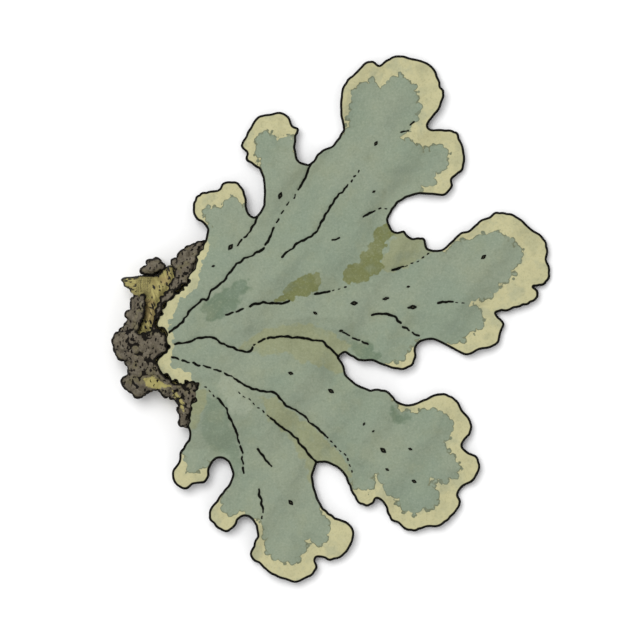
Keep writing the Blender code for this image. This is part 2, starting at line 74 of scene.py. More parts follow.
FREE_EDGES = {
    "shoulder": [
        (-19.1, 11.8), (-18.8, 13.4), (-19.3, 14.4), (-20.3, 15.0), (-20.9, 16.1), (-20.9, 17.4),
        (-20.3, 18.7), (-19.1, 19.3), (-17.2, 19.6), (-16.4, 20.6), (-15.2, 20.9), (-14.0, 20.6),
        (-13.1, 19.3), (-12.8, 18.1), (-12.6, 16.4), (-11.7, 15.5), (-10.9, 16.1),
    ],
    "upper": [
        (-10.9, 16.1), (-10.3, 17.3), (-10.2, 19.6), (-10.3, 20.9), (-10.9, 22.6), (-12.8, 24.0),
        (-12.9, 25.2), (-13.7, 26.3), (-13.1, 27.5), (-12.1, 29.4), (-10.9, 30.8), (-9.3, 31.1),
        (-7.7, 31.4), (-6.4, 30.7), (-5.8, 29.4), (-4.9, 28.8), (-5.3, 27.2), (-5.3, 25.2),
        (-4.9, 24.1), (-3.6, 23.5), (-2.7, 24.0),
    ],
    "crown": [
        (-2.7, 24.0), (-1.7, 25.4), (0.2, 26.4), (1.5, 28.2), (1.8, 29.1), (1.4, 31.1),
        (1.5, 34.2), (2.3, 36.1), (3.8, 37.5), (4.9, 38.7), (6.1, 39.2), (7.4, 38.6),
        (8.8, 39.6), (10.5, 40.0), (12.1, 39.6), (13.8, 39.2), (15.3, 38.4), (16.2, 36.9),
        (16.7, 35.2), (17.2, 34.2), (16.5, 31.9), (15.2, 30.2), (14.7, 29.3), (15.3, 28.8),
        (17.2, 28.8), (19.0, 28.4), (19.7, 27.0), (20.3, 24.9), (20.0, 22.6), (18.5, 21.3),
        (18.4, 20.0), (17.2, 18.7), (15.2, 18.8), (12.8, 18.8), (10.5, 17.8), (9.4, 16.5),
        (8.7, 15.0), (9.3, 13.5),
    ],
    "frill": [
        (9.3, 13.5), (10.0, 13.2), (11.1, 13.4), (11.7, 12.6), (12.6, 12.3), (13.8, 12.4),
        (14.4, 11.8), (14.6, 10.8), (15.5, 10.5),
    ],
    "right": [
        (15.5, 10.5), (16.8, 10.6), (18.2, 11.8), (19.6, 13.1), (20.9, 13.5), (22.5, 14.9),
        (23.8, 15.5), (24.9, 16.2), (26.1, 16.2), (27.6, 15.9), (29.0, 15.0), (30.4, 13.7),
        (31.7, 12.9), (32.6, 11.8), (32.9, 10.5), (32.8, 9.0), (33.2, 7.6), (33.2, 6.4),
        (32.5, 5.3), (31.4, 4.9), (30.7, 4.9), (31.4, 4.3), (31.4, 3.3), (30.1, 2.3),
        (28.2, 1.7), (26.7, 1.2), (25.7, 1.1), (25.0, 0.9), (25.8, 0.0), (26.3, -0.9),
        (25.8, -2.1), (25.4, -3.6), (24.1, -4.4), (22.5, -4.7), (21.4, -5.3), (20.3, -5.5),
        (19.0, -4.9), (17.5, -4.1), (15.8, -3.3), (14.7, -3.2), (13.5, -3.6), (12.9, -4.4),
        (12.9, -5.8), (12.3, -7.1), (10.9, -7.7), (9.6, -7.6), (7.7, -7.0), (6.2, -6.4),
        (4.4, -6.4), (3.2, -5.8), (2.0, -5.2), (1.2, -5.8),
    ],
    "lower_right": [
        (1.2, -5.8), (2.0, -7.1), (2.4, -8.5), (4.1, -9.9), (5.8, -10.6), (7.7, -10.6),
        (9.0, -11.2), (9.9, -12.3), (10.9, -12.8), (12.1, -12.9), (13.5, -12.4), (15.5, -11.5),
        (16.7, -11.2), (17.9, -11.5), (19.1, -12.3), (20.0, -13.8), (20.9, -14.9), (21.4, -16.1),
        (21.1, -17.5), (20.2, -18.5), (20.0, -19.3), (20.8, -20.2), (21.9, -20.6), (22.6, -22.0),
        (22.2, -23.7), (21.4, -24.7), (20.0, -25.5), (19.3, -26.6), (19.7, -27.6), (19.3, -28.8),
        (18.1, -30.2), (17.0, -31.1), (15.8, -31.6), (14.3, -31.6), (13.4, -32.0), (12.3, -32.2),
        (11.2, -31.9), (10.2, -31.1), (9.1, -30.5), (8.5, -29.4), (8.2, -28.4), (7.6, -27.6),
        (6.8, -27.3), (6.5, -27.9), (5.6, -28.4), (4.4, -28.1), (3.6, -27.2), (2.9, -25.8),
        (2.4, -24.6), (1.8, -23.4), (0.9, -22.6), (-0.5, -21.9), (-1.5, -21.8), (-2.1, -21.9),
    ],
    "bottom": [
        (-2.1, -21.9), (-2.7, -23.7), (-2.3, -26.1), (-1.2, -28.5), (0.8, -30.1), (2.6, -30.8),
        (3.5, -32.2), (3.2, -34.0), (2.1, -35.7), (0.9, -36.4), (-0.3, -36.6), (-1.7, -36.1),
        (-2.3, -36.4), (-2.1, -37.8), (-2.9, -38.9), (-4.1, -39.5), (-5.3, -40.0), (-6.8, -39.6),
        (-8.5, -39.0), (-9.9, -38.1), (-10.8, -37.2), (-11.8, -36.6), (-12.3, -35.7),
        (-11.7, -34.0), (-11.2, -32.6), (-11.5, -31.3), (-12.0, -30.4), (-13.1, -29.9),
        (-14.0, -30.4), (-14.3, -31.1), (-15.0, -31.9), (-15.8, -32.3), (-17.0, -31.9),
        (-17.8, -31.1), (-18.5, -30.2), (-18.5, -29.3), (-18.1, -28.4), (-17.2, -27.2),
        (-16.4, -26.1), (-15.5, -25.0), (-15.0, -23.7), (-15.2, -22.6), (-15.6, -21.7),
    ],
    "heel": [
        (-15.6, -21.7), (-16.7, -21.1), (-17.8, -21.6), (-18.4, -22.9), (-18.5, -24.0),
        (-19.3, -24.9), (-20.6, -25.0), (-22.0, -25.8), (-23.2, -25.4), (-24.0, -24.3),
        (-24.0, -22.9), (-23.1, -21.6), (-22.9, -20.2), (-22.0, -18.8), (-21.4, -17.5),
        (-21.7, -16.4),
    ],
}  # fmt: skip

SEAMS = {
    "shoulder_upper": [
        (-10.9, 16.1), (-12.1, 13.4), (-14.3, 11.2), (-16.2, 8.7), (-18.8, 5.9), (-21.4, 4.1),
        (-24.1, 3.0),
    ],
    "upper_crown": [
        (-2.7, 24.0), (-4.7, 20.0), (-7.4, 16.2), (-8.2, 14.7), (-10.2, 10.8), (-13.8, 8.7),
        (-15.0, 7.4), (-16.5, 5.5), (-17.9, 4.4), (-18.8, 3.0), (-19.4, 2.9), (-21.4, 1.2),
    ],
    "upper_right": [(-21.4, 1.2), (-22.5, -0.5), (-24.7, -2.3)],
    "crown_right": [
        (-21.4, 1.2), (-15.5, 0.8), (-12.9, 1.7), (-10.6, 2.4), (-7.1, 2.4), (-4.7, 3.9),
        (-2.6, 3.8), (0.2, 4.3), (4.7, 5.8), (9.3, 7.4),
    ],
    "frill_right": [(9.3, 7.4), (10.9, 7.9), (13.5, 9.0), (15.5, 10.5)],
    "crown_frill": [(9.3, 13.5), (8.5, 11.5), (8.3, 9.4), (9.3, 7.4)],
    "right_lower": [
        (1.2, -5.8), (0.2, -4.7), (-1.7, -3.3), (-6.1, -2.7), (-9.6, -2.9), (-11.5, -3.9),
        (-12.9, -4.9), (-15.5, -4.1), (-17.5, -3.0), (-18.8, -2.7), (-21.9, -3.5),
        (-23.8, -3.8), (-24.9, -3.6),
    ],
    "lower_bottom": [
        (-2.1, -21.9), (-3.0, -20.8), (-4.4, -19.4), (-5.8, -17.5), (-7.4, -16.4),
        (-9.1, -15.0), (-11.5, -12.9), (-14.0, -10.9), (-15.0, -8.7), (-18.2, -7.4),
        (-21.6, -6.5), (-24.3, -5.6), (-26.0, -5.8),
    ],
    "bottom_heel": [
        (-15.6, -21.7), (-14.4, -19.4), (-14.3, -17.0), (-15.3, -15.0), (-15.9, -13.4),
        (-17.2, -12.0), (-18.7, -10.5), (-20.0, -9.7),
    ],
}  # fmt: skip

# Where each lobe's root ends on the bark, from the top of the twig down.
ROOTS = {
    "shoulder": [
        (-19.1, 11.8), (-19.4, 10.8), (-20.3, 9.6), (-20.3, 8.8), (-20.5, 7.9), (-21.1, 7.0),
        (-21.7, 6.4), (-21.4, 5.6), (-22.2, 4.9), (-22.8, 4.1), (-23.4, 3.9), (-24.1, 3.0),
    ],
    "upper": [
        (-24.1, 3.0), (-24.9, 2.7), (-24.9, 2.0), (-25.7, 1.4), (-25.5, 0.8), (-26.1, 0.3),
        (-26.1, -0.3), (-26.4, -0.8), (-25.8, -1.4), (-25.2, -1.4), (-24.7, -2.3),
    ],
    "right": [(-24.7, -2.3), (-25.0, -3.3), (-24.9, -3.6)],
    "lower_right": [(-24.9, -3.6), (-24.4, -4.1), (-24.7, -4.7), (-25.2, -5.3), (-26.0, -5.8)],
    "bottom": [
        (-26.0, -5.8), (-26.3, -6.8), (-25.7, -8.0), (-25.2, -8.5), (-24.7, -8.3), (-24.1, -9.3),
        (-23.2, -9.3), (-22.9, -9.9), (-22.2, -9.9), (-21.7, -9.4), (-20.8, -9.6), (-20.0, -9.7),
    ],
    "heel": [
        (-20.0, -9.7), (-20.2, -10.5), (-20.8, -10.8), (-20.6, -11.5), (-20.5, -12.3),
        (-21.3, -13.1), (-21.1, -13.7), (-21.4, -14.6), (-21.4, -15.3), (-21.7, -16.4),
    ],
}  # fmt: skip

# Each lobe's outline as a round of the lines above: a minus means run backwards.
LOBES = {
    "lobe_shoulder": ["free shoulder", "seam shoulder_upper", "-root shoulder"],
    "lobe_upper": [
        "free upper", "seam upper_crown", "seam upper_right", "-root upper",
        "-seam shoulder_upper",
    ],
    "lobe_crown": ["free crown", "seam crown_frill", "-seam crown_right", "-seam upper_crown"],
    "lobelet_frill": ["free frill", "-seam frill_right", "-seam crown_frill"],
    "lobe_right": [
        "free right", "seam right_lower", "-root right", "-seam upper_right",
        "seam crown_right", "seam frill_right",
    ],
    "lobe_lower_right": [
        "free lower_right", "seam lower_bottom", "-root lower_right", "-seam right_lower",
    ],
    "lobe_bottom": ["free bottom", "seam bottom_heel", "-root bottom", "-seam lower_bottom"],
    "lobe_heel": ["free heel", "-root heel", "-seam bottom_heel"],
}  # fmt: skip

# Kinds of crease: half its width, its depth, the length of a stroke and of the break after it.
CREASE_KINDS = {
    "cut": (0.17, 0.26, 4.6, 0.25),
    "broken": (0.15, 0.20, 1.15, 0.55),
    "dotted": (0.10, 0.10, 0.3, 0.65),
    "sparse": (0.12, 0.12, 0.6, 0.95),
}
# The creases that follow a seam: from and to are shares of the seam's length.
SEAM_CREASES = [
    ("shoulder_upper", 0.0, 0.16, "cut"),
    ("shoulder_upper", 0.17, 0.33, "broken"),
    ("upper_crown", 0.0, 0.165, "cut"),
    ("upper_crown", 0.19, 0.37, "sparse"),
    ("upper_crown", 0.40, 0.49, "cut"),
    ("upper_crown", 0.505, 1.0, "cut"),
    ("upper_right", 0.0, 0.93, "cut"),
    ("crown_right", 0.17, 0.27, "broken"),
    ("crown_right", 0.29, 0.48, "cut"),
    ("crown_right", 0.615, 0.69, "cut"),
    ("crown_right", 0.70, 0.78, "dotted"),
    ("frill_right", 0.0, 0.25, "cut"),
    ("frill_right", 0.3, 1.0, "dotted"),
    ("right_lower", 0.0, 0.42, "cut"),
    ("right_lower", 0.43, 0.50, "broken"),
    ("right_lower", 0.51, 0.95, "cut"),
    ("lower_bottom", 0.0, 0.33, "cut"),
    ("lower_bottom", 0.34, 0.54, "dotted"),
    ("lower_bottom", 0.62, 0.93, "broken"),
    ("bottom_heel", 0.30, 0.75, "cut"),
    ("bottom_heel", 0.78, 0.95, "dotted"),
]
# The creases that run on inside a lobe.
INNER_CREASES = [
    ("cut", [(-7.4, 9.4), (-4.7, 11.7), (-2.7, 12.8), (-1.1, 15.3), (0.6, 18.1), (2.3, 20.0)]),
    ("dotted", [(2.4, 20.1), (4.3, 22.6)]),
    ("broken", [(0.2, 12.0), (1.7, 12.4)]),
    ("broken", [(10.6, 28.3), (11.8, 28.6)]),
    ("broken", [(12.0, 29.4), (12.6, 29.9)]),
    ("cut", [(4.9, 15.5), (5.5, 15.9), (6.2, 16.2)]),
    ("dotted", [(6.4, 16.3), (7.7, 16.7), (8.9, 16.8)]),
    ("cut", [(-15.0, -8.7), (-13.1, -10.0), (-10.6, -10.9), (-8.5, -11.2), (-6.7, -13.1),
             (-4.4, -14.4), (-3.0, -15.8), (-0.9, -17.6)]),
    ("dotted", [(-0.7, -17.8), (1.2, -19.7), (2.3, -20.9), (3.2, -23.2)]),
    ("broken", [(-14.2, -17.6), (-13.6, -19.6), (-13.4, -20.8), (-13.2, -23.4)]),
    ("cut", [(-11.1, -19.7), (-9.9, -21.3), (-9.0, -22.3)]),
    ("cut", [(-10.9, -25.8), (-10.7, -27.3), (-10.3, -28.7)]),
    ("dotted", [(-10.3, -29.0), (-10.5, -30.6)]),
    ("cut", [(6.2, 0.6), (7.9, 0.8), (9.4, 0.5), (10.6, -0.6)]),
    ("broken", [(10.9, -1.2), (12.3, -2.0), (13.6, -2.6)]),
    ("cut", [(16.2, 2.4), (17.5, 2.6), (18.5, 2.6)]),
    ("dotted", [(18.9, 2.5), (20.5, 2.4)]),
    ("broken", [(7.9, 3.0), (8.7, 3.2)]),
    ("broken", [(11.7, 1.7), (13.1, 1.8)]),
    ("broken", [(1.8, -2.0), (2.9, -2.6), (5.6, -3.8)]),
]  # fmt: skip

# The pale powdery margin: each outline follows its inner edge and then passes off the thallus.
MARGINS = [
    [(-18.4, 14.3), (-19.3, 15.5), (-19.4, 16.4), (-18.7, 17.2), (-17.0, 17.0), (-16.4, 18.1),
     (-15.2, 18.8), (-14.1, 18.5), (-13.4, 17.8), (-12.4, 17.2), (-11.1, 18.4), (-13.1, 22.3),
     (-17.6, 22.3), (-22.0, 19.9), (-22.3, 14.7), (-19.9, 13.5)],
    [(-10.3, 21.4), (-10.9, 22.9), (-11.5, 24.6), (-11.7, 26.3), (-11.2, 27.8), (-10.0, 28.5),
     (-9.0, 28.4), (-8.2, 27.3), (-7.1, 28.1), (-5.9, 27.9), (-5.5, 26.9), (-5.2, 25.4),
     (-2.9, 26.4), (-3.9, 32.0), (-7.7, 33.5), (-12.6, 32.6), (-15.3, 28.7), (-15.0, 23.8),
     (-12.3, 21.4)],
    [(1.7, 27.8), (2.1, 29.3), (2.6, 32.2), (3.0, 34.5), (4.9, 36.1), (6.5, 36.7), (7.6, 35.2),
     (8.8, 36.6), (10.5, 37.3), (11.8, 36.3), (13.1, 35.4), (13.1, 33.9), (13.8, 32.2),
     (13.2, 30.2), (12.3, 29.1), (11.2, 27.6), (13.1, 26.9), (13.8, 26.0), (15.5, 26.4),
     (17.2, 26.7), (17.9, 26.0), (18.2, 24.3), (17.6, 22.9), (16.1, 22.0), (16.2, 20.5),
     (14.1, 19.4), (12.6, 18.5), (13.5, 16.8), (18.8, 16.8), (22.9, 21.1), (22.9, 29.0),
     (19.0, 32.0), (19.0, 39.6), (10.5, 42.7), (2.9, 41.1), (-1.4, 34.8), (-0.5, 28.1)],
    [(17.2, 10.8), (18.2, 11.7), (20.8, 12.3), (22.3, 12.8), (23.7, 13.5), (25.4, 13.8),
     (26.1, 12.8), (27.6, 12.4), (27.9, 11.4), (29.1, 10.6), (29.6, 9.6), (28.5, 8.2),
     (28.2, 6.7), (27.2, 5.6), (25.7, 5.2), (25.5, 3.9), (24.3, 3.0), (21.4, 2.6), (22.5, 1.8),
     (23.4, 0.2), (23.2, -1.1), (22.5, -2.3), (20.9, -2.4), (20.3, -3.6), (18.7, -3.8),
     (17.2, -4.3), (18.8, -7.7), (27.9, -7.7), (29.0, -1.7), (36.0, 2.9), (36.0, 14.3),
     (28.7, 19.3), (20.5, 17.3), (16.2, 12.3)],
    [(13.5, -3.5), (12.8, -3.9), (11.8, -5.2), (11.1, -6.2), (9.1, -7.0), (7.7, -7.3),
     (8.0, -9.9), (14.1, -9.9), (14.7, -5.0)],
    [(9.3, -11.8), (10.0, -12.9), (10.8, -13.7), (12.4, -14.0), (13.8, -13.7), (15.5, -13.2),
     (16.8, -13.7), (17.8, -14.7), (18.7, -15.3), (18.8, -16.8), (18.1, -18.4), (17.3, -19.3),
     (18.7, -20.3), (19.4, -21.1), (19.9, -22.8), (19.1, -24.1), (17.6, -24.9), (15.5, -24.7),
     (16.2, -26.0), (16.8, -27.3), (15.6, -28.8), (13.8, -29.3), (12.8, -29.9), (11.4, -29.6),
     (10.0, -28.4), (9.3, -26.9), (8.5, -26.6), (7.7, -25.5), (6.8, -24.4), (6.5, -25.5),
     (5.6, -26.4), (4.4, -26.3), (3.2, -25.8), (2.0, -23.8), (0.3, -25.0), (2.1, -30.2),
     (10.5, -34.8), (18.4, -33.9), (25.4, -26.0), (24.4, -18.1), (21.4, -9.6), (12.3, -9.9)],
    [(-1.8, -27.5), (-1.1, -29.3), (-0.6, -30.5), (0.5, -31.3), (0.3, -32.9), (-1.2, -34.6),
     (-3.3, -33.9), (-3.9, -35.7), (-5.0, -37.0), (-6.7, -37.3), (-8.5, -36.6), (-9.9, -35.7),
     (-10.5, -34.0), (-10.3, -31.6), (-10.9, -30.5), (-12.1, -30.8), (-13.8, -33.5),
     (-14.4, -36.9), (-10.5, -41.4), (-1.4, -41.4), (5.6, -35.4), (4.7, -29.0), (-0.8, -26.6)],
    [(-16.4, -26.1), (-16.7, -26.7), (-17.0, -28.8), (-15.6, -30.1), (-13.8, -29.6),
     (-12.8, -29.9), (-13.8, -32.6), (-16.5, -34.2), (-20.5, -30.8), (-19.0, -27.2)],
    [(-22.6, -19.7), (-22.2, -21.1), (-21.9, -23.1), (-20.5, -23.5), (-19.1, -22.6),
     (-18.2, -21.9), (-16.8, -22.6), (-17.8, -26.6), (-21.7, -28.1), (-26.0, -25.4),
     (-25.0, -20.8)],
]  # fmt: skip
ROOT_CRUST = [
    [(-18.8, 12.3), (-18.4, 11.7), (-18.5, 10.6), (-18.8, 9.3), (-19.7, 8.5), (-19.7, 7.3),
     (-20.0, 5.9), (-20.3, 5.0), (-21.7, 3.6), (-22.9, 3.2), (-23.2, 2.1), (-23.8, 0.9),
     (-24.4, 0.2), (-24.6, -0.6), (-24.4, -1.5), (-23.8, -2.3), (-23.8, -3.5), (-23.7, -5.0),
     (-24.4, -6.1), (-24.3, -6.8), (-23.7, -7.6), (-22.9, -8.0), (-21.7, -8.5), (-21.1, -9.3),
     (-19.9, -9.6), (-20.5, -10.8), (-27.5, -10.5), (-28.1, 2.9), (-22.0, 12.6)],
]  # fmt: skip
# Patches of other colours on the upper side, and a patch of painted shade over the heel lobe.
OLIVE_PATCHES = [
    [(-9.1, 2.7), (-7.6, 3.5), (-7.1, 4.9), (-6.1, 5.9), (-4.7, 6.5), (-3.3, 7.1), (-1.8, 6.7),
     (-1.4, 5.5), (-2.0, 4.3), (-3.8, 3.3), (-5.9, 2.7), (-7.6, 2.4)],
    [(8.7, 14.7), (6.7, 13.4), (6.1, 11.7), (5.5, 10.6), (4.4, 9.7), (4.3, 8.7), (3.2, 8.2),
     (1.8, 7.3), (1.7, 6.1), (2.9, 5.2), (4.1, 5.6), (5.6, 5.8), (6.4, 6.5), (7.4, 7.1),
     (8.2, 7.9), (7.6, 8.7), (8.0, 9.4), (7.9, 10.2), (9.0, 10.8), (8.7, 11.8), (9.9, 12.8),
     (9.3, 13.8)],
]  # fmt: skip
LIME_PATCHES = [
    [(9.3, 14.1), (12.0, 13.8), (14.7, 12.9), (15.9, 10.5), (13.5, 8.8), (10.9, 7.7),
     (9.0, 7.1), (7.7, 7.4), (7.4, 8.7), (8.0, 9.7), (8.7, 10.8), (8.3, 12.0), (9.6, 12.6)],
    [(-14.4, -4.6), (-12.3, -2.9), (-10.5, -1.7), (-7.7, -0.9), (-4.4, -0.6), (-1.4, -1.2),
     (0.8, -2.3), (2.9, -4.1), (2.3, -5.6), (1.4, -6.5), (2.3, -8.0), (1.1, -8.2), (-2.0, -7.1),
     (-4.3, -6.4), (-6.8, -5.3), (-10.2, -5.6), (-12.3, -5.3)],
    [(-10.5, -11.7), (-8.3, -11.8), (-6.2, -13.7), (-4.1, -15.2), (-2.3, -16.8), (-0.2, -18.8),
     (2.0, -21.1), (3.5, -24.1), (2.0, -24.1), (0.5, -22.6), (-2.0, -22.2), (-2.0, -24.1),
     (-2.4, -26.3), (-3.6, -24.1), (-4.1, -21.7), (-5.3, -19.3), (-7.4, -16.8), (-9.6, -15.0)],
    [(-20.0, -9.7), (-18.5, -10.9), (-19.1, -12.9), (-19.7, -15.0), (-20.5, -17.2),
     (-22.3, -16.8), (-21.4, -13.1)],
]  # fmt: skip
TEAL_PATCHES = [
    [(-19.1, -0.5), (-19.6, 1.8), (-18.1, 3.5), (-16.5, 4.7), (-14.4, 5.8), (-12.4, 6.1),
     (-12.3, 4.6), (-13.4, 3.5), (-14.0, 2.0), (-15.6, 0.8), (-17.6, -0.3)],
    [(2.7, -3.6), (3.5, -5.0), (4.6, -6.5), (7.6, -6.5), (7.7, -5.3), (6.8, -4.7), (6.4, -3.6),
     (5.6, -3.3), (4.3, -3.5)],
    [(9.3, -13.4), (10.2, -14.0), (11.7, -14.4), (12.4, -15.3), (11.1, -15.9), (9.6, -15.3),
     (8.8, -14.3)],
]  # fmt: skip
# Painted shade: a half-strength blue-green over the heel lobe, where it lies in shade.
PAINTED_HEEL_SHADE_PATCHES = [
    [(-19.0, -11.4), (-17.0, -12.0), (-15.8, -13.8), (-14.3, -17.3), (-14.0, -19.7),
     (-13.4, -21.9), (-14.0, -24.0), (-14.9, -24.0), (-15.3, -20.6), (-17.8, -20.2),
     (-19.0, -18.4), (-19.9, -16.5), (-19.3, -14.1)],
]  # fmt: skip
PALE_PATCHES = [
    [(-17.5, -9.6), (-16.1, -8.2), (-14.7, -8.5), (-13.4, -10.2), (-12.3, -12.0),
     (-11.7, -13.7), (-13.4, -14.4), (-15.3, -14.3), (-16.5, -11.7)],
]  # fmt: skip

# Every kind of patch by the name of the attribute that says how deep in it a point lies.
PATCHES = {
    "margin": MARGINS,
    "root_crust": ROOT_CRUST,
    "olive": OLIVE_PATCHES,
    "lime": LIME_PATCHES,
    "teal": TEAL_PATCHES,
    "painted_heel_shade": PAINTED_HEEL_SHADE_PATCHES,
    "pale": PALE_PATCHES,
}
# Distances from a crease or a patch's edge are told apart up to this.
FAR = 3.0

# How much thinner the black edge is where the thallus grows on the bark.
ROOT_EDGE_THINNER = 0.18

# Pits in the upper side: place, turn in degrees and length.
PITS = [
    (6.8, 26.6, 60, 0.9), (-7.7, 18.7, 70, 1.2), (-15.2, 10.9, 55, 1.2), (-17.8, 8.0, 20, 0.6),
    (6.5, 19.3, 30, 0.6), (11.7, 4.9, 10, 0.6), (23.1, 9.4, 40, 1.0), (3.5, 2.4, 5, 1.2),
    (8.3, 3.1, 25, 0.8), (12.4, 1.8, 5, 1.2), (-2.4, 0.9, 150, 0.8), (-6.1, -8.2, 165, 0.9),
    (0.0, -10.9, 145, 1.1), (-6.1, -27.8, 130, 1.1), (5.0, -15.9, 60, 0.6), (7.9, -19.9, 140, 1.2),
    (12.0, -19.7, 160, 0.7), (8.5, -22.8, 150, 0.7), (12.6, -24.6, 155, 0.9),
    (6.4, -17.0, 35, 0.5), (1.5, -1.8, 10, 0.7),
]  # fmt: skip

# How far a pit's rim stands out of the skin, its half height, and its width as a share of its length.
PIT_RISE = 0.07
PIT_HALF_HEIGHT = 0.5
PIT_NARROWNESS = 0.52

# The twig: the line of its axis, and the burrs that stand out of its bark.
TWIG_AXIS = [
    (-18.7, 11.1), (-22.0, 5.9), (-24.4, 2.1), (-25.2, -3.2),
    (-24.4, -6.5), (-22.2, -10.0), (-20.5, -13.1), (-20.6, -16.1),
]  # fmt: skip
TWIG_MIDDLE_Y = -3.0
TWIG_HALF_LENGTH = 14.0
TWIG_HEIGHT = 8.6
TWIG_END_DROP = 3.4
# The painted shade in a band round the bark and the wood as seen from above: its width, and how far
# down it goes.
EDGE_BAND = 0.3
EDGE_BAND_DROP = 0.5
# Burrs: place, height of the middle, and radius.
BURRS = [
    (-32.0, -3.3, 6.0, 1.4), (-31.5, -5.3, 5.2, 1.2), (-30.7, -9.7, 4.2, 1.3),
    (-29.2, -11.1, 3.8, 1.1), (-25.8, -3.2, 8.0, 1.3), (-22.4, -15.6, 3.8, 0.9),
    (-29.6, -7.4, 6.6, 1.1), (-22.4, 9.6, 4.4, 1.1), (-30.3, 0.6, 5.6, 1.0),
    (-26.6, -9.5, 5.7, 1.5), (-25.2, -10.0, 5.5, 1.4), (-27.6, -9.2, 6.0, 1.4),
    (-26.9, -8.8, 6.2, 1.2),
]  # fmt: skip
CAP_BURRS = [(-26.7, 8.0, 4.3, 1.2), (-25.7, 8.0, 4.0, 0.8), (-28.1, 7.4, 4.0, 0.8)]
# The grains of the bark: how far apart, how unlike in size and how deep set they are, in shares
# of a grain's radius, and how many places are tried for each.
GRAIN_SPACING = 1.45
GRAIN_SIZES = (0.7, 1.3)
GRAIN_SINK = 0.1
TRIES_PER_GRAIN = 12
# Where the bark is so thin that its lumps have the colour of the wood.
THIN_BARK = [
    [(-24.0, -10.7), (-23.0, -11.4), (-22.3, -12.6), (-22.2, -14.2), (-23.0, -13.0), (-23.8, -11.6)],
    [(-28.4, -9.0), (-26.9, -8.6), (-25.4, -9.6), (-24.0, -10.2), (-26.2, -10.6), (-27.9, -10.2)],
]  # fmt: skip
# Where the bark has gone and the bare wood stands nearly as high, and where it is stained.
UPPER_BREAK = [
    (-35.0, 3.6), (-35.0, 12.0), (-24.4, 12.0), (-24.2, 8.2), (-23.6, 7.4), (-24.0, 5.6),
    (-25.5, 3.5), (-26.4, 2.0), (-26.4, 0.6), (-27.3, -1.6), (-29.1, -2.4), (-28.8, -0.8),
    (-28.0, 1.2), (-27.9, 3.4), (-29.0, 4.3),
]  # fmt: skip
# Where the wood's upper edge reaches out between the burr and the bark: x, half width, how far.
WOOD_TONGUE = (-24.7, 0.9, 0.6)
# How high the wood's fibres and lumps are, and how far its top rises in the upper break.
FIBRE_HEIGHT = 0.16
LUMP_HEIGHT = 0.18
BREAK_RISE = 0.9
BREAK_RISE_WIDTH = 0.8
# The snapped spur's top, and how far its tip is clear of the surface under it.
SPUR_TOP = 6.0
SPUR_CLEARANCE = 2.6
STAINS = [
    [(-28.5, 2.9), (-26.8, 2.6), (-26.2, 0.8), (-26.8, -0.9), (-28.0, 0.0)],
    [(-26.0, 6.2), (-24.6, 6.8), (-24.4, 5.6), (-25.4, 5.0)],
]  # fmt: skip

# The lie of the thallus: it leaves the twig's back and comes down to the surface.
SHEET = {
    "tip_height": 1.05,
    "arch_height": 1.0,
    "arch_reach": 3.5,
    "rim_lift": 0.5,
    "rim_width": 1.3,
    "wave_height": 0.55,
    "drop_reach": 15.0,
    "loose_reach": 11.0,
    "lowest": 0.6,
}
# The edge of the upper skin rolls down, and the powdery margin and the crust stand up from it.
EDGE_ROLL_DEPTH = 0.16
EDGE_ROLL_WIDTH = 0.3
CRUST_RISES = {"margin": 0.07, "root_crust": 0.06}
CRUST_RISE_WIDTH = 0.35
# The lower skin: its least height, the least at its border, and the wall up from there.
LOWER_SKIN_LOWEST = 0.04
BORDER_LOWEST = 0.02
WALL_HEIGHT = 0.3
LOWER_SKIN_COARSENESS = 4.0


# ---------------------------------------------------------------------------------------------
# Settings
# ---------------------------------------------------------------------------------------------


def colour_property(name, description, red, green, blue):
    """A colour that a user may change: its default is given as it looks on screen."""
    return FloatVectorProperty(
        name=name, description=description, subtype="COLOR",
        default=paint(red, green, blue), min=0.0, max=1.0,
    )  # fmt: skip


def length_property(name, description, default, low, high):
    """A length that a user may change: its default and limits are given in millimetres."""
    return FloatProperty(
        name=name, description=description, default=default * MM,
        min=low * MM, max=high * MM, precision=5, unit="LENGTH",
    )  # fmt: skip


class LichenThallusSettings(bpy.types.PropertyGroup):
    """Sizes and colours of the thallus"""

    thickness: length_property("Thickness", "Thickness of a lobe", 0.55, 0.2, 0.95)
    fineness: length_property(
        "Fineness", "Length of a triangle's side on the upper skin", 0.27, 0.2, 2.0
    )
    dark_edge: length_property(
        "Dark Edge", "How far the black lower skin shows round a lobe", 0.36, 0.0, 1.0
    )
    skin_colour: colour_property("Skin", "Grey-green of the upper skin", 147, 157, 136)
    margin_colour: colour_property(
        "Margin", "Straw colour of the powdery margin", 199, 194, 151
    )
    crust_colour: colour_property(
        "Root Crust", "Cream of the crust along the bark", 198, 194, 150
    )
    olive_colour: colour_property("Olive", "Colour of the olive patches", 119, 124, 80)
    lime_colour: colour_property("Lime", "Colour of the yellow-green patches", 149, 154, 121)
    teal_colour: colour_property("Teal", "Colour of the blue-green patches", 113, 130, 108)
    pale_colour: colour_property("Pale", "Colour of the pale patch", 161, 170, 149)
    # This black also paints the creases, as shade in their grooves.
    dark_colour: colour_property(
        "Lower Skin", "Black of the lower skin and the creases", 12, 12, 7
    )


class LichenTwigSettings(bpy.types.PropertyGroup):
    """Sizes and colours of the bark and the bare wood"""

    grain_size: length_property(
        "Grain", "Radius of a middling grain of the bark", 0.6, 0.2, 1.5
    )
    grain_count: IntProperty(
        name="Grains", description="Most grains that are set into the bark", default=620,
        min=0, max=2000,
    )  # fmt: skip
    bark_colour: colour_property("Bark", "Grey-brown of the bark", 108, 100, 86)
    wood_colour: colour_property("Bare Wood", "Ochre of the bare wood", 180, 171, 108)
    rust_colour: colour_property("Rust", "Red-brown stain on the bare wood", 150, 120, 86)


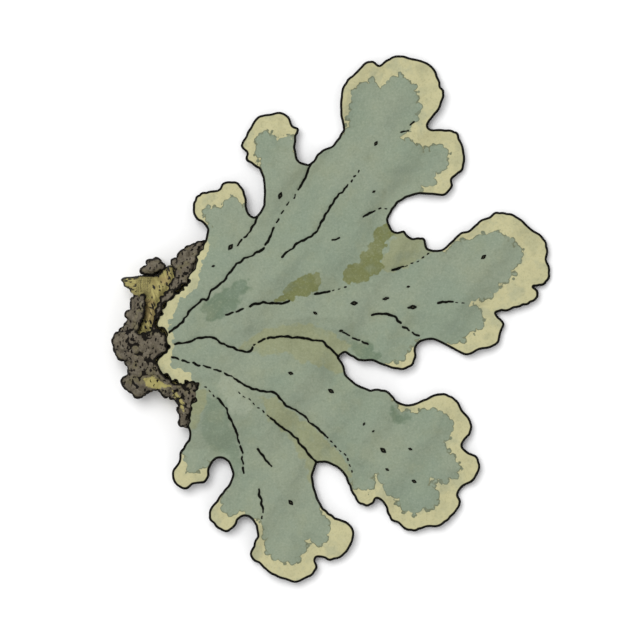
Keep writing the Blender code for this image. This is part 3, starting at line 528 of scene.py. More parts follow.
class LichenStageSettings(bpy.types.PropertyGroup):
    """Places and strengths of the camera, the light and the floor"""

    camera_height: FloatProperty(
        name="Camera Height", description="How far above the surface the camera hangs",
        default=1.2, min=0.2, max=5.0, unit="LENGTH",
    )  # fmt: skip
    view_width: FloatProperty(
        name="View Width", description="Width of the floor that the camera takes in",
        default=0.09715, min=0.05, max=1.0, precision=5, unit="LENGTH",
    )  # fmt: skip
    light_power: FloatProperty(
        name="Light", description="Power of the large lamp", default=10.5, min=0.0, max=100.0,
        unit="POWER",
    )  # fmt: skip
    sky_strength: FloatProperty(
        name="Sky", description="Strength of the even light from all round", default=0.7,
        min=0.0, max=10.0,
    )  # fmt: skip
    floor_colour: FloatVectorProperty(
        name="Floor", description="Colour of the floor", subtype="COLOR",
        default=(0.96, 0.96, 0.96), min=0.0, max=1.0,
    )  # fmt: skip


# ---------------------------------------------------------------------------------------------
# Lines and distances in the plan
# ---------------------------------------------------------------------------------------------


def smooth_line(points, step):
    """The points joined by a Catmull-Rom curve, sampled about every step along it."""
    knots = np.array(points, dtype=float)
    padded = np.vstack([knots[:1], knots, knots[-1:]])
    line = []
    for before, start, end, after in zip(padded, padded[1:], padded[2:], padded[3:]):
        pieces = max(1, round(float(np.linalg.norm(end - start)) / step))
        share = (np.arange(pieces) / pieces)[:, None]
        line.append(
            0.5 * (
                2.0 * start
                + (end - before) * share
                + (2.0 * before - 5.0 * start + 4.0 * end - after) * share**2
                + (3.0 * start - before - 3.0 * end + after) * share**3
            )
        )  # fmt: skip
    line.append(knots[-1:])
    return np.vstack(line)


def run_of(line):
    """How far along the line each of its points is."""
    return np.concatenate([[0.0], np.cumsum(np.linalg.norm(np.diff(line, axis=0), axis=1))])


def shifted_across(line, shifts):
    """The line with each point moved to its left, less and less towards both ends."""
    run = run_of(line)
    along = np.gradient(line, axis=0)
    along = along / np.maximum(np.linalg.norm(along, axis=1), 1e-9)[:, None]
    fade = np.clip(np.minimum(run, run[-1] - run) / 0.8, 0.0, 1.0)
    return line + np.column_stack([-along[:, 1], along[:, 0]]) * (shifts * fade)[:, None]


def unsteady(line, height, length):
    """The line with small uneven wanderings, as of a crack."""
    wander = [noise.noise(Vector((x / length, y / length, 3.0))) for x, y in line]
    return shifted_across(line, height * np.array(wander))


def scalloped(line, height, length):
    """The line with small round lobes on its left and notches between them."""
    run = run_of(line)
    drift = np.array([noise.noise(Vector((at / 4.0, 0.0, line[0, 0]))) for at in run])
    lobes = np.abs(np.sin(math.pi * run / length + 2.5 * drift)) - 0.6
    depth = np.array([noise.noise(Vector((at / 6.0, 5.0, line[0, 1]))) for at in run])
    return shifted_across(line, height * lobes * np.clip(0.7 + 1.5 * depth, 0.15, 1.3))


def distance_to_segments(points, starts, ends):
    """Distance from each point to the nearest of the segments."""
    along = ends - starts
    squares = np.maximum((along**2).sum(axis=1), 1e-12)
    nearest = np.empty(len(points))
    for first in range(0, len(points), 4096):
        some = points[first : first + 4096]
        offset = some[:, None, :] - starts[None, :, :]
        share = np.clip((offset * along).sum(axis=2) / squares, 0.0, 1.0)
        gap = offset - share[:, :, None] * along
        nearest[first : first + 4096] = np.sqrt((gap**2).sum(axis=2).min(axis=1))
    return nearest


def distance_to_lines(points, lines):
    starts = np.vstack([line[:-1] for line in lines])
    ends = np.vstack([line[1:] for line in lines])
    return distance_to_segments(points, starts, ends)


def inside(points, outline):
    """Whether each point is inside the closed outline."""
    crossings = np.zeros(len(points), dtype=bool)
    for start, end in zip(outline, np.roll(outline, -1, axis=0)):
        if start[1] == end[1]:
            continue
        spans = (start[1] > points[:, 1]) != (end[1] > points[:, 1])
        reach = start[0] + (end[0] - start[0]) * (points[:, 1] - start[1]) / (end[1] - start[1])
        crossings ^= spans & (points[:, 0] < reach)
    return crossings


def depth_in_patches(points, patches):
    """How deep each point lies inside the nearest patch, and less than 0 outside all of them."""
    deepest = np.full(len(points), -FAR)
    for patch in patches:
        outline = np.array(patch, dtype=float)
        distance = distance_to_segments(points, outline, np.roll(outline, -1, axis=0))
        deepest = np.maximum(deepest, np.where(inside(points, outline), distance, -distance))
    return np.clip(deepest, -FAR, FAR)


def signed_area(outline):
    following = np.roll(outline, -1, axis=0)
    return 0.5 * float((outline[:, 0] * following[:, 1] - following[:, 0] * outline[:, 1]).sum())


# How finely the lines are sampled, and how near two points of an outline count as one.
EDGE_STEP = 0.2
SEAM_STEP = 0.16
SAME_POINT = 0.02
# How high and how long the scallops of the free edges and of the roots are, and the cracks' bends.
FREE_SCALLOP = (0.11, 1.7)
ROOT_SCALLOP = (-0.3, 1.1)
CRACK_BENDS = (0.28, 0.9)


def crack_line(points):
    return unsteady(smooth_line(points, SEAM_STEP), *CRACK_BENDS)


AXIS = smooth_line(TWIG_AXIS, 0.5)
FREE_LINES = {
    name: scalloped(smooth_line(points, EDGE_STEP), *FREE_SCALLOP)
    for name, points in FREE_EDGES.items()
}
SEAM_LINES = {name: crack_line(points) for name, points in SEAMS.items()}
ROOT_LINES = {
    name: scalloped(smooth_line(points, EDGE_STEP), *ROOT_SCALLOP)
    for name, points in ROOTS.items()
}
LINES_OF_KIND = {"free": FREE_LINES, "seam": SEAM_LINES, "root": ROOT_LINES}


def lobe_outline(parts):
    """The lobe's closed outline, run counter-clockwise, with no point twice."""
    lines = []
    for part in parts:
        kind, name = part.lstrip("-").split()
        line = LINES_OF_KIND[kind][name]
        lines.append((line[::-1] if part.startswith("-") else line)[:-1])
    outline = np.vstack(lines)
    gaps = np.linalg.norm(outline - np.roll(outline, 1, axis=0), axis=1)
    outline = outline[gaps > SAME_POINT]
    return outline if signed_area(outline) > 0.0 else outline[::-1]


def cut_into_strokes(line, stroke, break_length):
    """The line as dashes of one length with breaks of another."""
    lengths = run_of(line)
    strokes = []
    at = 0.0
    while at < lengths[-1]:
        until = min(at + stroke, lengths[-1])
        places = np.unique(np.concatenate([[at], lengths[(lengths > at) & (lengths < until)], [until]]))
        xs = np.interp(places, lengths, line[:, 0])
        ys = np.interp(places, lengths, line[:, 1])
        if len(places) > 1:
            strokes.append(np.column_stack([xs, ys]))
        at = until + break_length
    return strokes


def share_of_line(line, start, end):
    last = len(line) - 1
    return line[round(start * last) : round(end * last) + 1]


def crease_strokes():
    """Every stroke of every crease, by kind."""
    strokes = {kind: [] for kind in CREASE_KINDS}
    for seam, start, end, kind in SEAM_CREASES:
        _, _, stroke, break_length = CREASE_KINDS[kind]
        line = share_of_line(SEAM_LINES[seam], start, end)
        strokes[kind] += cut_into_strokes(line, stroke, break_length)
    for kind, points in INNER_CREASES:
        _, _, stroke, break_length = CREASE_KINDS[kind]
        strokes[kind] += cut_into_strokes(crack_line(points), stroke, break_length)
    return strokes


STROKES = crease_strokes()


# ---------------------------------------------------------------------------------------------
# The lie of the thallus
# ---------------------------------------------------------------------------------------------


def twig_crest(points):
    share = np.minimum(1.2, np.abs(points[:, 1] - TWIG_MIDDLE_Y) / TWIG_HALF_LENGTH)
    return TWIG_HEIGHT - TWIG_END_DROP * share**2


def sheet_height(points):
    """Height of the thallus's upper side, without its creases and wrinkles."""
    x, y = points[:, 0], points[:, 1]
    from_twig = distance_to_lines(points, [AXIS])
    from_free_edge = distance_to_lines(points, list(FREE_LINES.values()))
    from_any_edge = np.minimum(
        from_free_edge, distance_to_lines(points, list(SEAM_LINES.values()))
    )
    drop = np.exp(-((from_twig / SHEET["drop_reach"]) ** 1.5))
    loose = 1.0 - np.exp(-((from_twig / SHEET["loose_reach"]) ** 2))
    arch = SHEET["arch_height"] * (1.0 - np.exp(-((from_any_edge / SHEET["arch_reach"]) ** 2)))
    rim = SHEET["rim_lift"] * np.exp(-((from_free_edge / SHEET["rim_width"]) ** 2))
    wave = SHEET["wave_height"] * np.sin(0.42 * x + 0.9) * np.cos(0.38 * y - 0.4)
    ripple = 0.5 * SHEET["wave_height"] * np.sin(0.8 * x - 0.55 * y)
    height = SHEET["tip_height"] + (twig_crest(points) - 0.2 - SHEET["tip_height"]) * drop
    height = height + loose * (arch + rim + wave + ripple) - 0.5 * (1.0 - loose)
    return np.maximum(SHEET["lowest"], height)


def wrinkles(points, scale, height):
    """Small unevenness: a noise with this many bumps to the millimetre."""
    bumps = [
        noise.fractal(Vector((x * scale, y * scale, 0.0)), 0.6, 2.0, 3) for x, y in points
    ]
    return height * np.array(bumps)


def skin_height(points):
    """Height of the upper skin with its wrinkles, but without its creases."""
    return sheet_height(points) + wrinkles(points, 0.9, 0.05) + wrinkles(points, 0.22, 0.16)


def crease_distance(points):
    """Distance to the edge of the nearest crease's stroke, less than 0 within the stroke."""
    nearest = np.full(len(points), FAR)
    for kind, strokes in STROKES.items():
        if strokes:
            nearest = np.minimum(
                nearest, distance_to_lines(points, strokes) - CREASE_KINDS[kind][0]
            )
    return nearest


def crease_depth(points):
    depth = np.zeros(len(points))
    for kind, strokes in STROKES.items():
        half_width, deep, _, _ = CREASE_KINDS[kind]
        if strokes:
            away = distance_to_lines(points, strokes) / (2.2 * half_width)
            depth = np.maximum(depth, deep * np.clip(1.0 - away, 0.0, 1.0))
    return depth


# ---------------------------------------------------------------------------------------------
# Meshes
# ---------------------------------------------------------------------------------------------


def only(*objects):
    """Selects these objects alone, and makes the first of them the active one."""
    if bpy.context.mode != "OBJECT":
        bpy.ops.object.mode_set(mode="OBJECT")
    bpy.ops.object.select_all(action="DESELECT")
    for obj in objects:
        obj.select_set(True)
    bpy.context.view_layer.objects.active = objects[0]


def add_object(name, mesh):
    obj = bpy.data.objects.new(name, mesh)
    bpy.context.scene.collection.objects.link(obj)
    return obj


def set_attribute(mesh, name, values):
    attribute = mesh.attributes.new(name, "FLOAT", "POINT")
    attribute.data.foreach_set("value", np.asarray(values, dtype=np.float32))


def vertex_places(mesh):
    """The mesh's vertices in millimetres."""
    places = np.empty(len(mesh.vertices) * 3)
    mesh.vertices.foreach_get("co", places)
    return places.reshape(-1, 3) / MM


def put_vertices(mesh, places):
    mesh.vertices.foreach_set("co", (places * MM).ravel())
    mesh.update()


def apply_modifier(obj, kind, **settings):
    only(obj)
    modifier = obj.modifiers.new(kind.lower(), kind)
    for name, value in settings.items():
        setattr(modifier, name, value)
    bpy.ops.object.modifier_apply(modifier=modifier.name)


def grid_inside(outline, lines, step):
    """Points of a triangular grid inside the outline that keep clear of it and of the lines."""
    low, high = outline.min(axis=0), outline.max(axis=0)
    row_height = step * math.sqrt(3.0) / 2.0
    rows = np.arange(int((high[1] - low[1]) / row_height) + 1)
    columns = np.arange(int((high[0] - low[0]) / step) + 1)
    column, row = np.meshgrid(columns, rows)
    xs = low[0] + (column + 0.5 * (row % 2)) * step
    ys = low[1] + (row + 0.5) * row_height
    points = np.column_stack([xs.ravel(), ys.ravel()])
    points = points[inside(points, outline)]
    clear = distance_to_lines(points, [np.vstack([outline, outline[:1]])]) > 0.55 * step
    points = points[clear]
    if lines:
        points = points[distance_to_lines(points, lines) > 0.5 * step]
    return points


def lines_inside(outline, lines):
    """The stretches of the lines that run inside the outline, clear of its edge."""
    closed = [np.vstack([outline, outline[:1]])]
    runs = []
    for line in lines:
        kept = inside(line, outline) & (distance_to_lines(line, closed) > 0.12)
        run = []
        for point, keep in zip(line, kept):
            if keep:
                run.append(point)
                continue
            if len(run) > 1:
                runs.append(np.array(run))
            run = []
        if len(run) > 1:
            runs.append(np.array(run))
    return runs


def triangulate(outline, lines, step):
    """Plan points and triangles that fill the outline, whose own points come first."""
    points = [outline]
    edges = []
    count = len(outline)
    for line in lines:
        edges += [(count + index, count + index + 1) for index in range(len(line) - 1)]
        points.append(line)
        count += len(line)
    points.append(grid_inside(outline, lines, step))
    plan = [Vector(point) for point in np.vstack(points)]
    border = list(range(len(outline)))
    plan, _, triangles, _, _, _ = geometry.delaunay_2d_cdt(plan, edges, [border], 1, 1e-5)
    return np.array([tuple(point) for point in plan]), np.array(triangles)


def sheet_mesh(name, outline, fineness, thickness):
    """A lobe: a fine upper skin with its creases, a plainer lower skin and the wall between."""
    creases = lines_inside(outline, [line for lines in STROKES.values() for line in lines])
    top_plan, top_triangles = triangulate(outline, creases, fineness)
    low_plan, low_triangles = triangulate(outline, [], LOWER_SKIN_COARSENESS * fineness)
    from_open_edge = np.minimum(
        distance_to_lines(top_plan, list(FREE_LINES.values())),
        distance_to_lines(top_plan, list(ROOT_LINES.values())) + ROOT_EDGE_THINNER,
    )
    depths = {name: depth_in_patches(top_plan, patches) for name, patches in PATCHES.items()}
    top = skin_height(top_plan) - crease_depth(top_plan)
    top = top - EDGE_ROLL_DEPTH * np.clip(1.0 - from_open_edge / EDGE_ROLL_WIDTH, 0.0, 1.0) ** 2
    for name, rise in CRUST_RISES.items():
        top = top + rise * np.clip(depths[name] / CRUST_RISE_WIDTH, 0.0, 1.0)
    low = np.maximum(LOWER_SKIN_LOWEST, skin_height(low_plan) - thickness)
    top_border = top[: len(outline)]
    low[: len(outline)] = np.minimum(low[: len(outline)], top_border - WALL_HEIGHT)
    low = np.maximum(BORDER_LOWEST, low)

    places = np.vstack([np.column_stack([top_plan, top]), np.column_stack([low_plan, low])])
    shift = len(top_plan)
    border = np.arange(len(outline))
    following = np.roll(border, -1)
    walls = np.column_stack([border + shift, following + shift, following, border])
    faces = (
        top_triangles.tolist() + (low_triangles[:, ::-1] + shift).tolist() + walls.tolist()
    )
    mesh = bpy.data.meshes.new(name)
    mesh.from_pydata((places * MM).tolist(), [], faces)
    mesh.update()
    # Each attribute's values on the upper skin, and its one value on the lower skin.
    fields = {"open_edge": (from_open_edge, 0.0), "crease": (crease_distance(top_plan), FAR)}
    fields |= {name: (depth, -FAR) for name, depth in depths.items()}
    fields["lower_skin"] = (np.zeros(len(top_plan)), 1.0)
    for field, (upper, lower) in fields.items():
        set_attribute(mesh, field, np.append(upper, np.full(len(low_plan), lower)))
    return mesh


def hand_over(piece, node=None):
    """Ties a finished piece to the body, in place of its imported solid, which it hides."""
    if not piece.data.polygons:
        raise RuntimeError(f"{piece.name} came out empty")
    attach(piece, "root")
    if node:
        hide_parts(node)


def copy_of_node(node, name):
    """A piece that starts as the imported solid, with its loose triangles joined."""
    piece = add_object(name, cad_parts[node].data.copy())
    piece.data.materials.clear()
    only(piece)
    bpy.ops.object.mode_set(mode="EDIT")
    bpy.ops.mesh.select_all(action="SELECT")
    bpy.ops.mesh.remove_doubles(threshold=0.0005 * MM)
    bpy.ops.mesh.normals_make_consistent(inside=False)
    bpy.ops.object.mode_set(mode="OBJECT")
    return piece


# ---------------------------------------------------------------------------------------------
# Materials
# ---------------------------------------------------------------------------------------------


class Term:
    """One socket that takes part in a sum: each operator adds its Math node."""

    def __init__(self, finish, socket):
        self.finish = finish
        self.socket = socket

    def _math(self, operation, first, second):
        return self.finish.node("ShaderNodeMath", {"operation": operation}, [first, second])

    def __add__(self, other):
        return self._math("ADD", self, other)

    def __radd__(self, other):
        return self._math("ADD", other, self)

    def __sub__(self, other):
        return self._math("SUBTRACT", self, other)

    def __rsub__(self, other):
        return self._math("SUBTRACT", other, self)

    def __mul__(self, other):
        return self._math("MULTIPLY", self, other)

    def __rmul__(self, other):
        return self._math("MULTIPLY", other, self)

    def __truediv__(self, other):
        return self._math("DIVIDE", self, other)


class Finish:
    """A material, and the nodes that make it."""

    def __init__(self, name):
        self.material = bpy.data.materials.new(name)
        self.material.use_nodes = True
        self.tree = self.material.node_tree
        self.shader = self.tree.nodes["Principled BSDF"]

    def node(self, node_type, settings=None, inputs=(), output=0):
        """Adds a node: its settings first, then the values or links of its sockets."""
        node = self.tree.nodes.new(node_type)
        for name, value in (settings or {}).items():
            setattr(node, name, value)
        pairs = inputs.items() if isinstance(inputs, dict) else enumerate(inputs)
        for key, value in pairs:
            self.feed(node.inputs[key], value)
        return Term(self, node.outputs[output])

    def feed(self, socket, value):
        if isinstance(value, Term):
            self.tree.links.new(value.socket, socket)
        elif isinstance(value, (tuple, list)) and socket.type == "RGBA" and len(value) == 3:
            socket.default_value = (*value, 1.0)
        else:
            socket.default_value = value

    def set(self, **sockets):
        """Feeds the shader's sockets, with underscores for the spaces in their names."""
        for name, value in sockets.items():
            self.feed(self.shader.inputs[name.replace("_", " ")], value)

    def places(self):
        """The surface's own coordinates, in millimetres."""
        return self.node(
            "ShaderNodeVectorMath", {"operation": "SCALE"},
            {"Vector": self.node("ShaderNodeTexCoord", output="Object"), "Scale": 1.0 / MM},
        )  # fmt: skip

    def attribute(self, name):
        return self.node("ShaderNodeAttribute", {"attribute_name": name}, output="Fac")

    def noise(self, places, scale, detail=2.0, roughness=0.5):
        return self.node(
            "ShaderNodeTexNoise", None,
            {"Vector": places, "Scale": scale, "Detail": detail, "Roughness": roughness},
        )  # fmt: skip

    def cells(self, places, scale, output="Distance"):
        return self.node("ShaderNodeTexVoronoi", None, {"Vector": places, "Scale": scale}, output)

    def ramp(self, value, low, high):
        """0 below low and 1 above high, with a smooth step between."""
        return self.node(
            "ShaderNodeMapRange", {"interpolation_type": "SMOOTHSTEP"},
            {"Value": value, "From Min": low, "From Max": high},
        )  # fmt: skip

    def blend(self, share, first, second, mode="MIX"):
        """Goes from the first colour to the second as the share goes from 0 to 1."""
        return self.node(
            "ShaderNodeMix", {"data_type": "RGBA", "blend_type": mode},
            {0: share, 6: first, 7: second}, output=2,
        )  # fmt: skip

    def greater(self, first, second):
        return self.node("ShaderNodeMath", {"operation": "MAXIMUM"}, [first, second])

    def bump(self, height, strength, distance):
        return self.node(
            "ShaderNodeBump", None,
            {"Strength": strength, "Distance": distance * MM, "Height": height}, "Normal",
        )  # fmt: skip


def make_thallus_finish(settings):
    """Grey-green skin with scalloped patches, a powdery straw margin and creases, with painted shade:
    black in the creases, a faint line at the margin's foot and a wash over the heel lobe.
    """
    finish = Finish("thallus")
    places = finish.places()
    coarse = finish.cells(places, 0.95)
    small = finish.cells(places, 2.2)
    drift = finish.noise(places, 0.5, 3.0)
    scallop = 0.5 - coarse * coarse * 1.55 - small * small * 0.45 + (drift - 0.5) * 0.4

    colour = finish.blend(
        finish.ramp(finish.noise(places, 0.09, 2.0), 0.35, 0.65),
        tuple(settings.skin_colour),
        paint(141, 154, 134),
    )
    patches = [
        ("teal", settings.teal_colour, 0.95, 0.34),
        # The heel's half-strength blue-green is painted shade.
        ("painted_heel_shade", settings.teal_colour, 0.5, 0.4),
        ("pale", settings.pale_colour, 0.9, 0.4),
        ("lime", settings.lime_colour, 1.0, 0.25),
        ("olive", settings.olive_colour, 1.0, 0.12),
    ]
    for name, patch_colour, cover, softness in patches:
        edge = finish.attribute(name) + scallop * 0.6 + (drift - 0.5) * 1.2
        colour = finish.blend(
            finish.ramp(edge, -softness, softness) * cover, colour, tuple(patch_colour)
        )

    # The skin ends in small scallops, with a faint brown line of painted shadow where the powder
    # begins, at the foot of the raised margin.
    outer = finish.attribute("margin") - scallop * 0.8
    crust = finish.attribute("root_crust") - scallop * 0.6
    line = finish.ramp(outer, -0.34, -0.16) * finish.ramp(drift, 0.3, 0.5)
    colour = finish.blend(line * 0.75, colour, paint(108, 110, 82))
    colour = finish.blend(finish.ramp(outer, -0.04, 0.04), colour, tuple(settings.margin_colour))
    colour = finish.blend(finish.ramp(crust, -0.04, 0.04), colour, tuple(settings.crust_colour))

    # Fine mottling, as of a dusty, pitted skin.
    fleck = finish.noise(places, 3.2, 3.0, 0.65)
    cloud = finish.noise(places, 0.7, 3.0, 0.55)
    wash = finish.noise(places, 0.28, 4.0, 0.6)
    colour = finish.blend(finish.ramp(wash, 0.5, 0.68) * 0.3, colour, paint(150, 156, 128))
    colour = finish.blend(finish.ramp(wash, 0.5, 0.34) * 0.3, colour, paint(136, 150, 134))
    dark_mottle = finish.ramp(fleck, 0.5, 0.72) * 0.22 + finish.ramp(cloud, 0.5, 0.75) * 0.13
    light_mottle = finish.ramp(1.0 - fleck, 0.5, 0.72) * 0.18
    colour = finish.blend(dark_mottle, colour, paint(104, 112, 92))
    colour = finish.blend(light_mottle, colour, paint(190, 194, 170))

    uneven = (finish.noise(places, 1.1, 2.0) - 0.5) * 0.3
    # Painted shade: the creases are painted black in their grooves; the black lower skin and the black
    # edge round each lobe are its own colour.
    black_skin_and_crease_shade = finish.greater(
        1.0 - finish.ramp(finish.attribute("crease") + uneven, -0.03, 0.05),
        1.0 - finish.ramp(
            finish.attribute("open_edge") / (settings.dark_edge / MM) + uneven, 0.88, 1.12
        ),
    )  # fmt: skip
    black_skin_and_crease_shade = finish.greater(black_skin_and_crease_shade, finish.attribute("lower_skin"))
    colour = finish.blend(black_skin_and_crease_shade, colour, tuple(settings.dark_colour))
    relief = fleck * 0.5 + cloud * 0.5 + finish.ramp(outer, -0.05, 0.1) * 0.3
    finish.set(
        Base_Color=colour,
        Roughness=0.92 - black_skin_and_crease_shade * 0.25 - cloud * 0.1,
        Normal=finish.bump(relief, 0.35, 0.12),
        Specular_IOR_Level=0.08,
    )
    return finish.material


def make_pit_finish(settings):
    """Black rim and brown heart of the small pits."""
    finish = Finish("pit")
    heart = finish.ramp(finish.attribute("heart"), 0.6, 0.95)
    grain = finish.noise(finish.places(), 6.0, 2.0)
    brown = finish.blend(grain, paint(84, 80, 60), paint(106, 106, 84))
    finish.set(
        Base_Color=finish.blend(heart, tuple(settings.dark_colour), brown),
        Roughness=0.75 + grain * 0.2,
        Specular_IOR_Level=0.1,
    )
    return finish.material


def make_bark_finish(settings):
    """Grey-brown grains, each of its own tone, with black specks, black painted shade in the hollows
    between them and a band of painted shade round the edge seen from above.
    """
    finish = Finish("bark")
    places = finish.places()
    tone = finish.attribute("grain_tone")
    fleck = finish.noise(places, 3.5, 3.0, 0.6)
    cloud = finish.noise(places, 0.6, 2.0)
    base = tuple(settings.bark_colour)
    chip = finish.cells(places, 1.5, "Color")
    colour = finish.blend(tone * 0.8, base, paint(90, 83, 70))
    colour = finish.blend(finish.ramp(tone, 0.7, 0.95) * 0.7, colour, paint(132, 124, 108))
    colour = finish.blend(finish.ramp(chip, 0.35, 0.4) * 0.5, colour, paint(124, 117, 102))
    colour = finish.blend(finish.ramp(chip, 0.62, 0.67) * 0.6, colour, paint(90, 83, 70))
    colour = finish.blend(finish.ramp(fleck, 0.48, 0.3) * 0.5, colour, paint(142, 134, 114))
    colour = finish.blend(finish.ramp(cloud, 0.5, 0.66) * 0.45, colour, paint(116, 110, 76))
    colour = finish.blend(finish.ramp(fleck, 0.5, 0.75) * 0.35, colour, paint(76, 70, 58))
    thin = finish.attribute("thin_bark") + (fleck - 0.5) * 1.2
    colour = finish.blend(finish.ramp(thin, -0.1, 0.15) * 0.9, colour, tuple(settings.wood_colour))
    # Painted shade: black in the hollows between the grains; the black specks below are real and join
    # it.
    hollow_shade_and_specks = finish.ramp(finish.attribute("hollow_shade_and_specks") + (fleck - 0.5) * 0.35, -0.02, 0.1)
    drawn_out = finish.node(
        "ShaderNodeMapping", None,
        {"Vector": places, "Rotation": (0.0, 0.0, 0.45), "Scale": (1.0, 0.6, 0.8)},
    )  # fmt: skip
    speck = finish.cells(drawn_out, 1.7) + (fleck - 0.5) * 0.8
    hollow_shade_and_specks = finish.greater(hollow_shade_and_specks, 1.0 - finish.ramp(speck, 0.26, 0.34))
    # A band of painted shade round the bark's edge as seen from above joins the hollows' painted shade
    # and the specks.
    dark = finish.greater(hollow_shade_and_specks, finish.attribute("painted_rim_shade"))
    colour = finish.blend(dark, colour, paint(24, 21, 17))
    finish.set(
        Base_Color=colour,
        Roughness=0.95 - fleck * 0.15,
        Normal=finish.bump(fleck + cloud * 0.5, 0.5, 0.15),
        Specular_IOR_Level=0.1,
    )
    return finish.material


def make_wood_finish(settings):
    """Ochre wood with fibres along the twig, rusty stains, black specks and painted shade round its
    edge as seen from above.
    """
    finish = Finish("bare_wood")
    places = finish.places()
    fibres = finish.node(
        "ShaderNodeCombineXYZ", None,
        {"X": finish.attribute("across") * 3.0, "Y": finish.attribute("along") * 0.45},
    )  # fmt: skip
    streak = finish.noise(fibres, 1.0, 3.0, 0.6)
    stain = finish.attribute("stain") + (finish.noise(places, 0.9, 3.0) - 0.5) * 2.0
    fleck = finish.noise(places, 3.0, 3.0)
    colour = finish.blend(finish.ramp(streak, 0.35, 0.65), tuple(settings.wood_colour),
                          paint(146, 135, 82))  # fmt: skip
    colour = finish.blend(finish.ramp(stain, -0.2, 0.3) * 0.4, colour, tuple(settings.rust_colour))
    colour = finish.blend(finish.ramp(fleck, 0.5, 0.8) * 0.35, colour, paint(96, 86, 56))
    specks = finish.node(
        "ShaderNodeCombineXYZ", None,
        {"X": finish.attribute("across") * 2.1, "Y": finish.attribute("along") * 1.25},
    )  # fmt: skip
    spot = 1.0 - finish.ramp(finish.cells(specks, 1.0) + (fleck - 0.5) * 0.8, 0.34, 0.44)
    # A band of painted shade round the wood's edge in the upper break, as seen from above, joins the
    # black specks.
    dark = finish.greater(spot, finish.attribute("painted_rim_shade"))
    colour = finish.blend(dark, colour, paint(26, 23, 17))
    finish.set(
        Base_Color=colour,
        Roughness=0.8 - streak * 0.15,
        Normal=finish.bump(streak + fleck * 0.3, 0.5, 0.2),
        Specular_IOR_Level=0.3,
    )
    return finish.material


def make_floor_finish(settings):
    finish = Finish("floor")
    grain = finish.noise(finish.places(), 0.05, 2.0)
    bright = tuple(settings.floor_colour)
    dull = tuple(0.985 * share for share in bright)
    finish.set(
        Base_Color=finish.blend(grain, bright, dull), Roughness=0.95, Specular_IOR_Level=0.1
    )
    return finish.material


# ---------------------------------------------------------------------------------------------
# Operators
# ---------------------------------------------------------------------------------------------


class LICHEN_OT_add_lobes(bpy.types.Operator):
    """Lay out the lobes of the thallus"""

    bl_idname = "lichen.add_lobes"
    bl_label = "Add Lobes"

    def execute(self, context):
        settings = context.scene.lichen_thallus
        finish = make_thallus_finish(settings)
        fineness = settings.fineness / MM * 1.0
        for node, parts in LOBES.items():
            mesh = sheet_mesh(node, lobe_outline(parts), fineness, settings.thickness / MM)
            lobe = add_object("skin_of_" + node, mesh)
            lobe.data.materials.append(finish)
            only(lobe)
            bpy.ops.object.shade_smooth_by_angle(angle=math.radians(50.0))
            hand_over(lobe, node)
        return {"FINISHED"}


class LICHEN_OT_add_pits(bpy.types.Operator):
    """Set the small dark-rimmed pits into the upper skin"""

    bl_idname = "lichen.add_pits"
    bl_label = "Add Pits"

    def execute(self, context):
        pit = self.model_pit()
        spots = np.array([(x, y) for x, y, _, _ in PITS])
        heights = skin_height(spots)
        eastward = skin_height(spots + (0.5, 0.0)) - skin_height(spots - (0.5, 0.0))
        northward = skin_height(spots + (0.0, 0.5)) - skin_height(spots - (0.0, 0.5))
        pits = []
        for index, (x, y, turn, length) in enumerate(PITS):
            up = Vector((-eastward[index], -northward[index], 1.0)).normalized()
            lean = Vector((0.0, 0.0, 1.0)).rotation_difference(up).to_matrix().to_4x4()
            place = Matrix.Translation(Vector((x, y, heights[index] + PIT_RISE)) * MM)
            half = 0.5 * length * MM
            size = Matrix.Diagonal((half, half, PIT_HALF_HEIGHT * MM, 1.0))
            mesh = pit.data.copy()
            mesh.transform(place @ lean @ Matrix.Rotation(math.radians(turn), 4, "Z") @ size)
            pits.append(add_object("pit", mesh))
        bpy.data.objects.remove(pit, do_unlink=True)
        only(*pits)
        bpy.ops.object.join()
        joined = context.object
        joined.name = "pits"
        joined.data.materials.append(make_pit_finish(context.scene.lichen_thallus))
        only(joined)
        bpy.ops.object.shade_smooth_by_angle(angle=math.radians(60.0))
        hand_over(joined)
        return {"FINISHED"}

    def model_pit(self):
        """A pit of length 2 with a raised rim round a sunken heart, narrowed to a lens."""
        bpy.ops.object.select_all(action="DESELECT")
        bpy.ops.mesh.primitive_circle_add(
            vertices=14, radius=1.0, fill_type="NGON", location=(0.0, 0.0, -0.25)
        )
        pit = bpy.context.object
        bpy.ops.object.mode_set(mode="EDIT")
        bpy.ops.mesh.select_all(action="SELECT")
        bpy.ops.mesh.extrude_region_move(TRANSFORM_OT_translate={"value": (0.0, 0.0, 0.3)})
        bpy.ops.mesh.inset(thickness=0.22, depth=0.06)
        bpy.ops.mesh.inset(thickness=0.22, depth=-0.12)
        bpy.ops.mesh.poke()
        bpy.ops.mesh.select_all(action="SELECT")
        bpy.ops.transform.resize(value=(1.0, PIT_NARROWNESS, 1.0))
        bpy.ops.mesh.normals_make_consistent(inside=False)
        bpy.ops.object.mode_set(mode="OBJECT")
        bpy.ops.object.transform_apply(location=True, rotation=True, scale=True)
        places = vertex_places(pit.data) * MM
        from_heart = np.hypot(places[:, 0], places[:, 1] / PIT_NARROWNESS)
        places[:, 1] *= 1.15 - 0.75 * np.abs(places[:, 0]) ** 1.5
        put_vertices(pit.data, places / MM)
        heart = np.clip((0.62 - from_heart) / 0.62, 0.0, 1.0)
        set_attribute(pit.data, "heart", heart * (places[:, 2] > -0.1))
        return pit


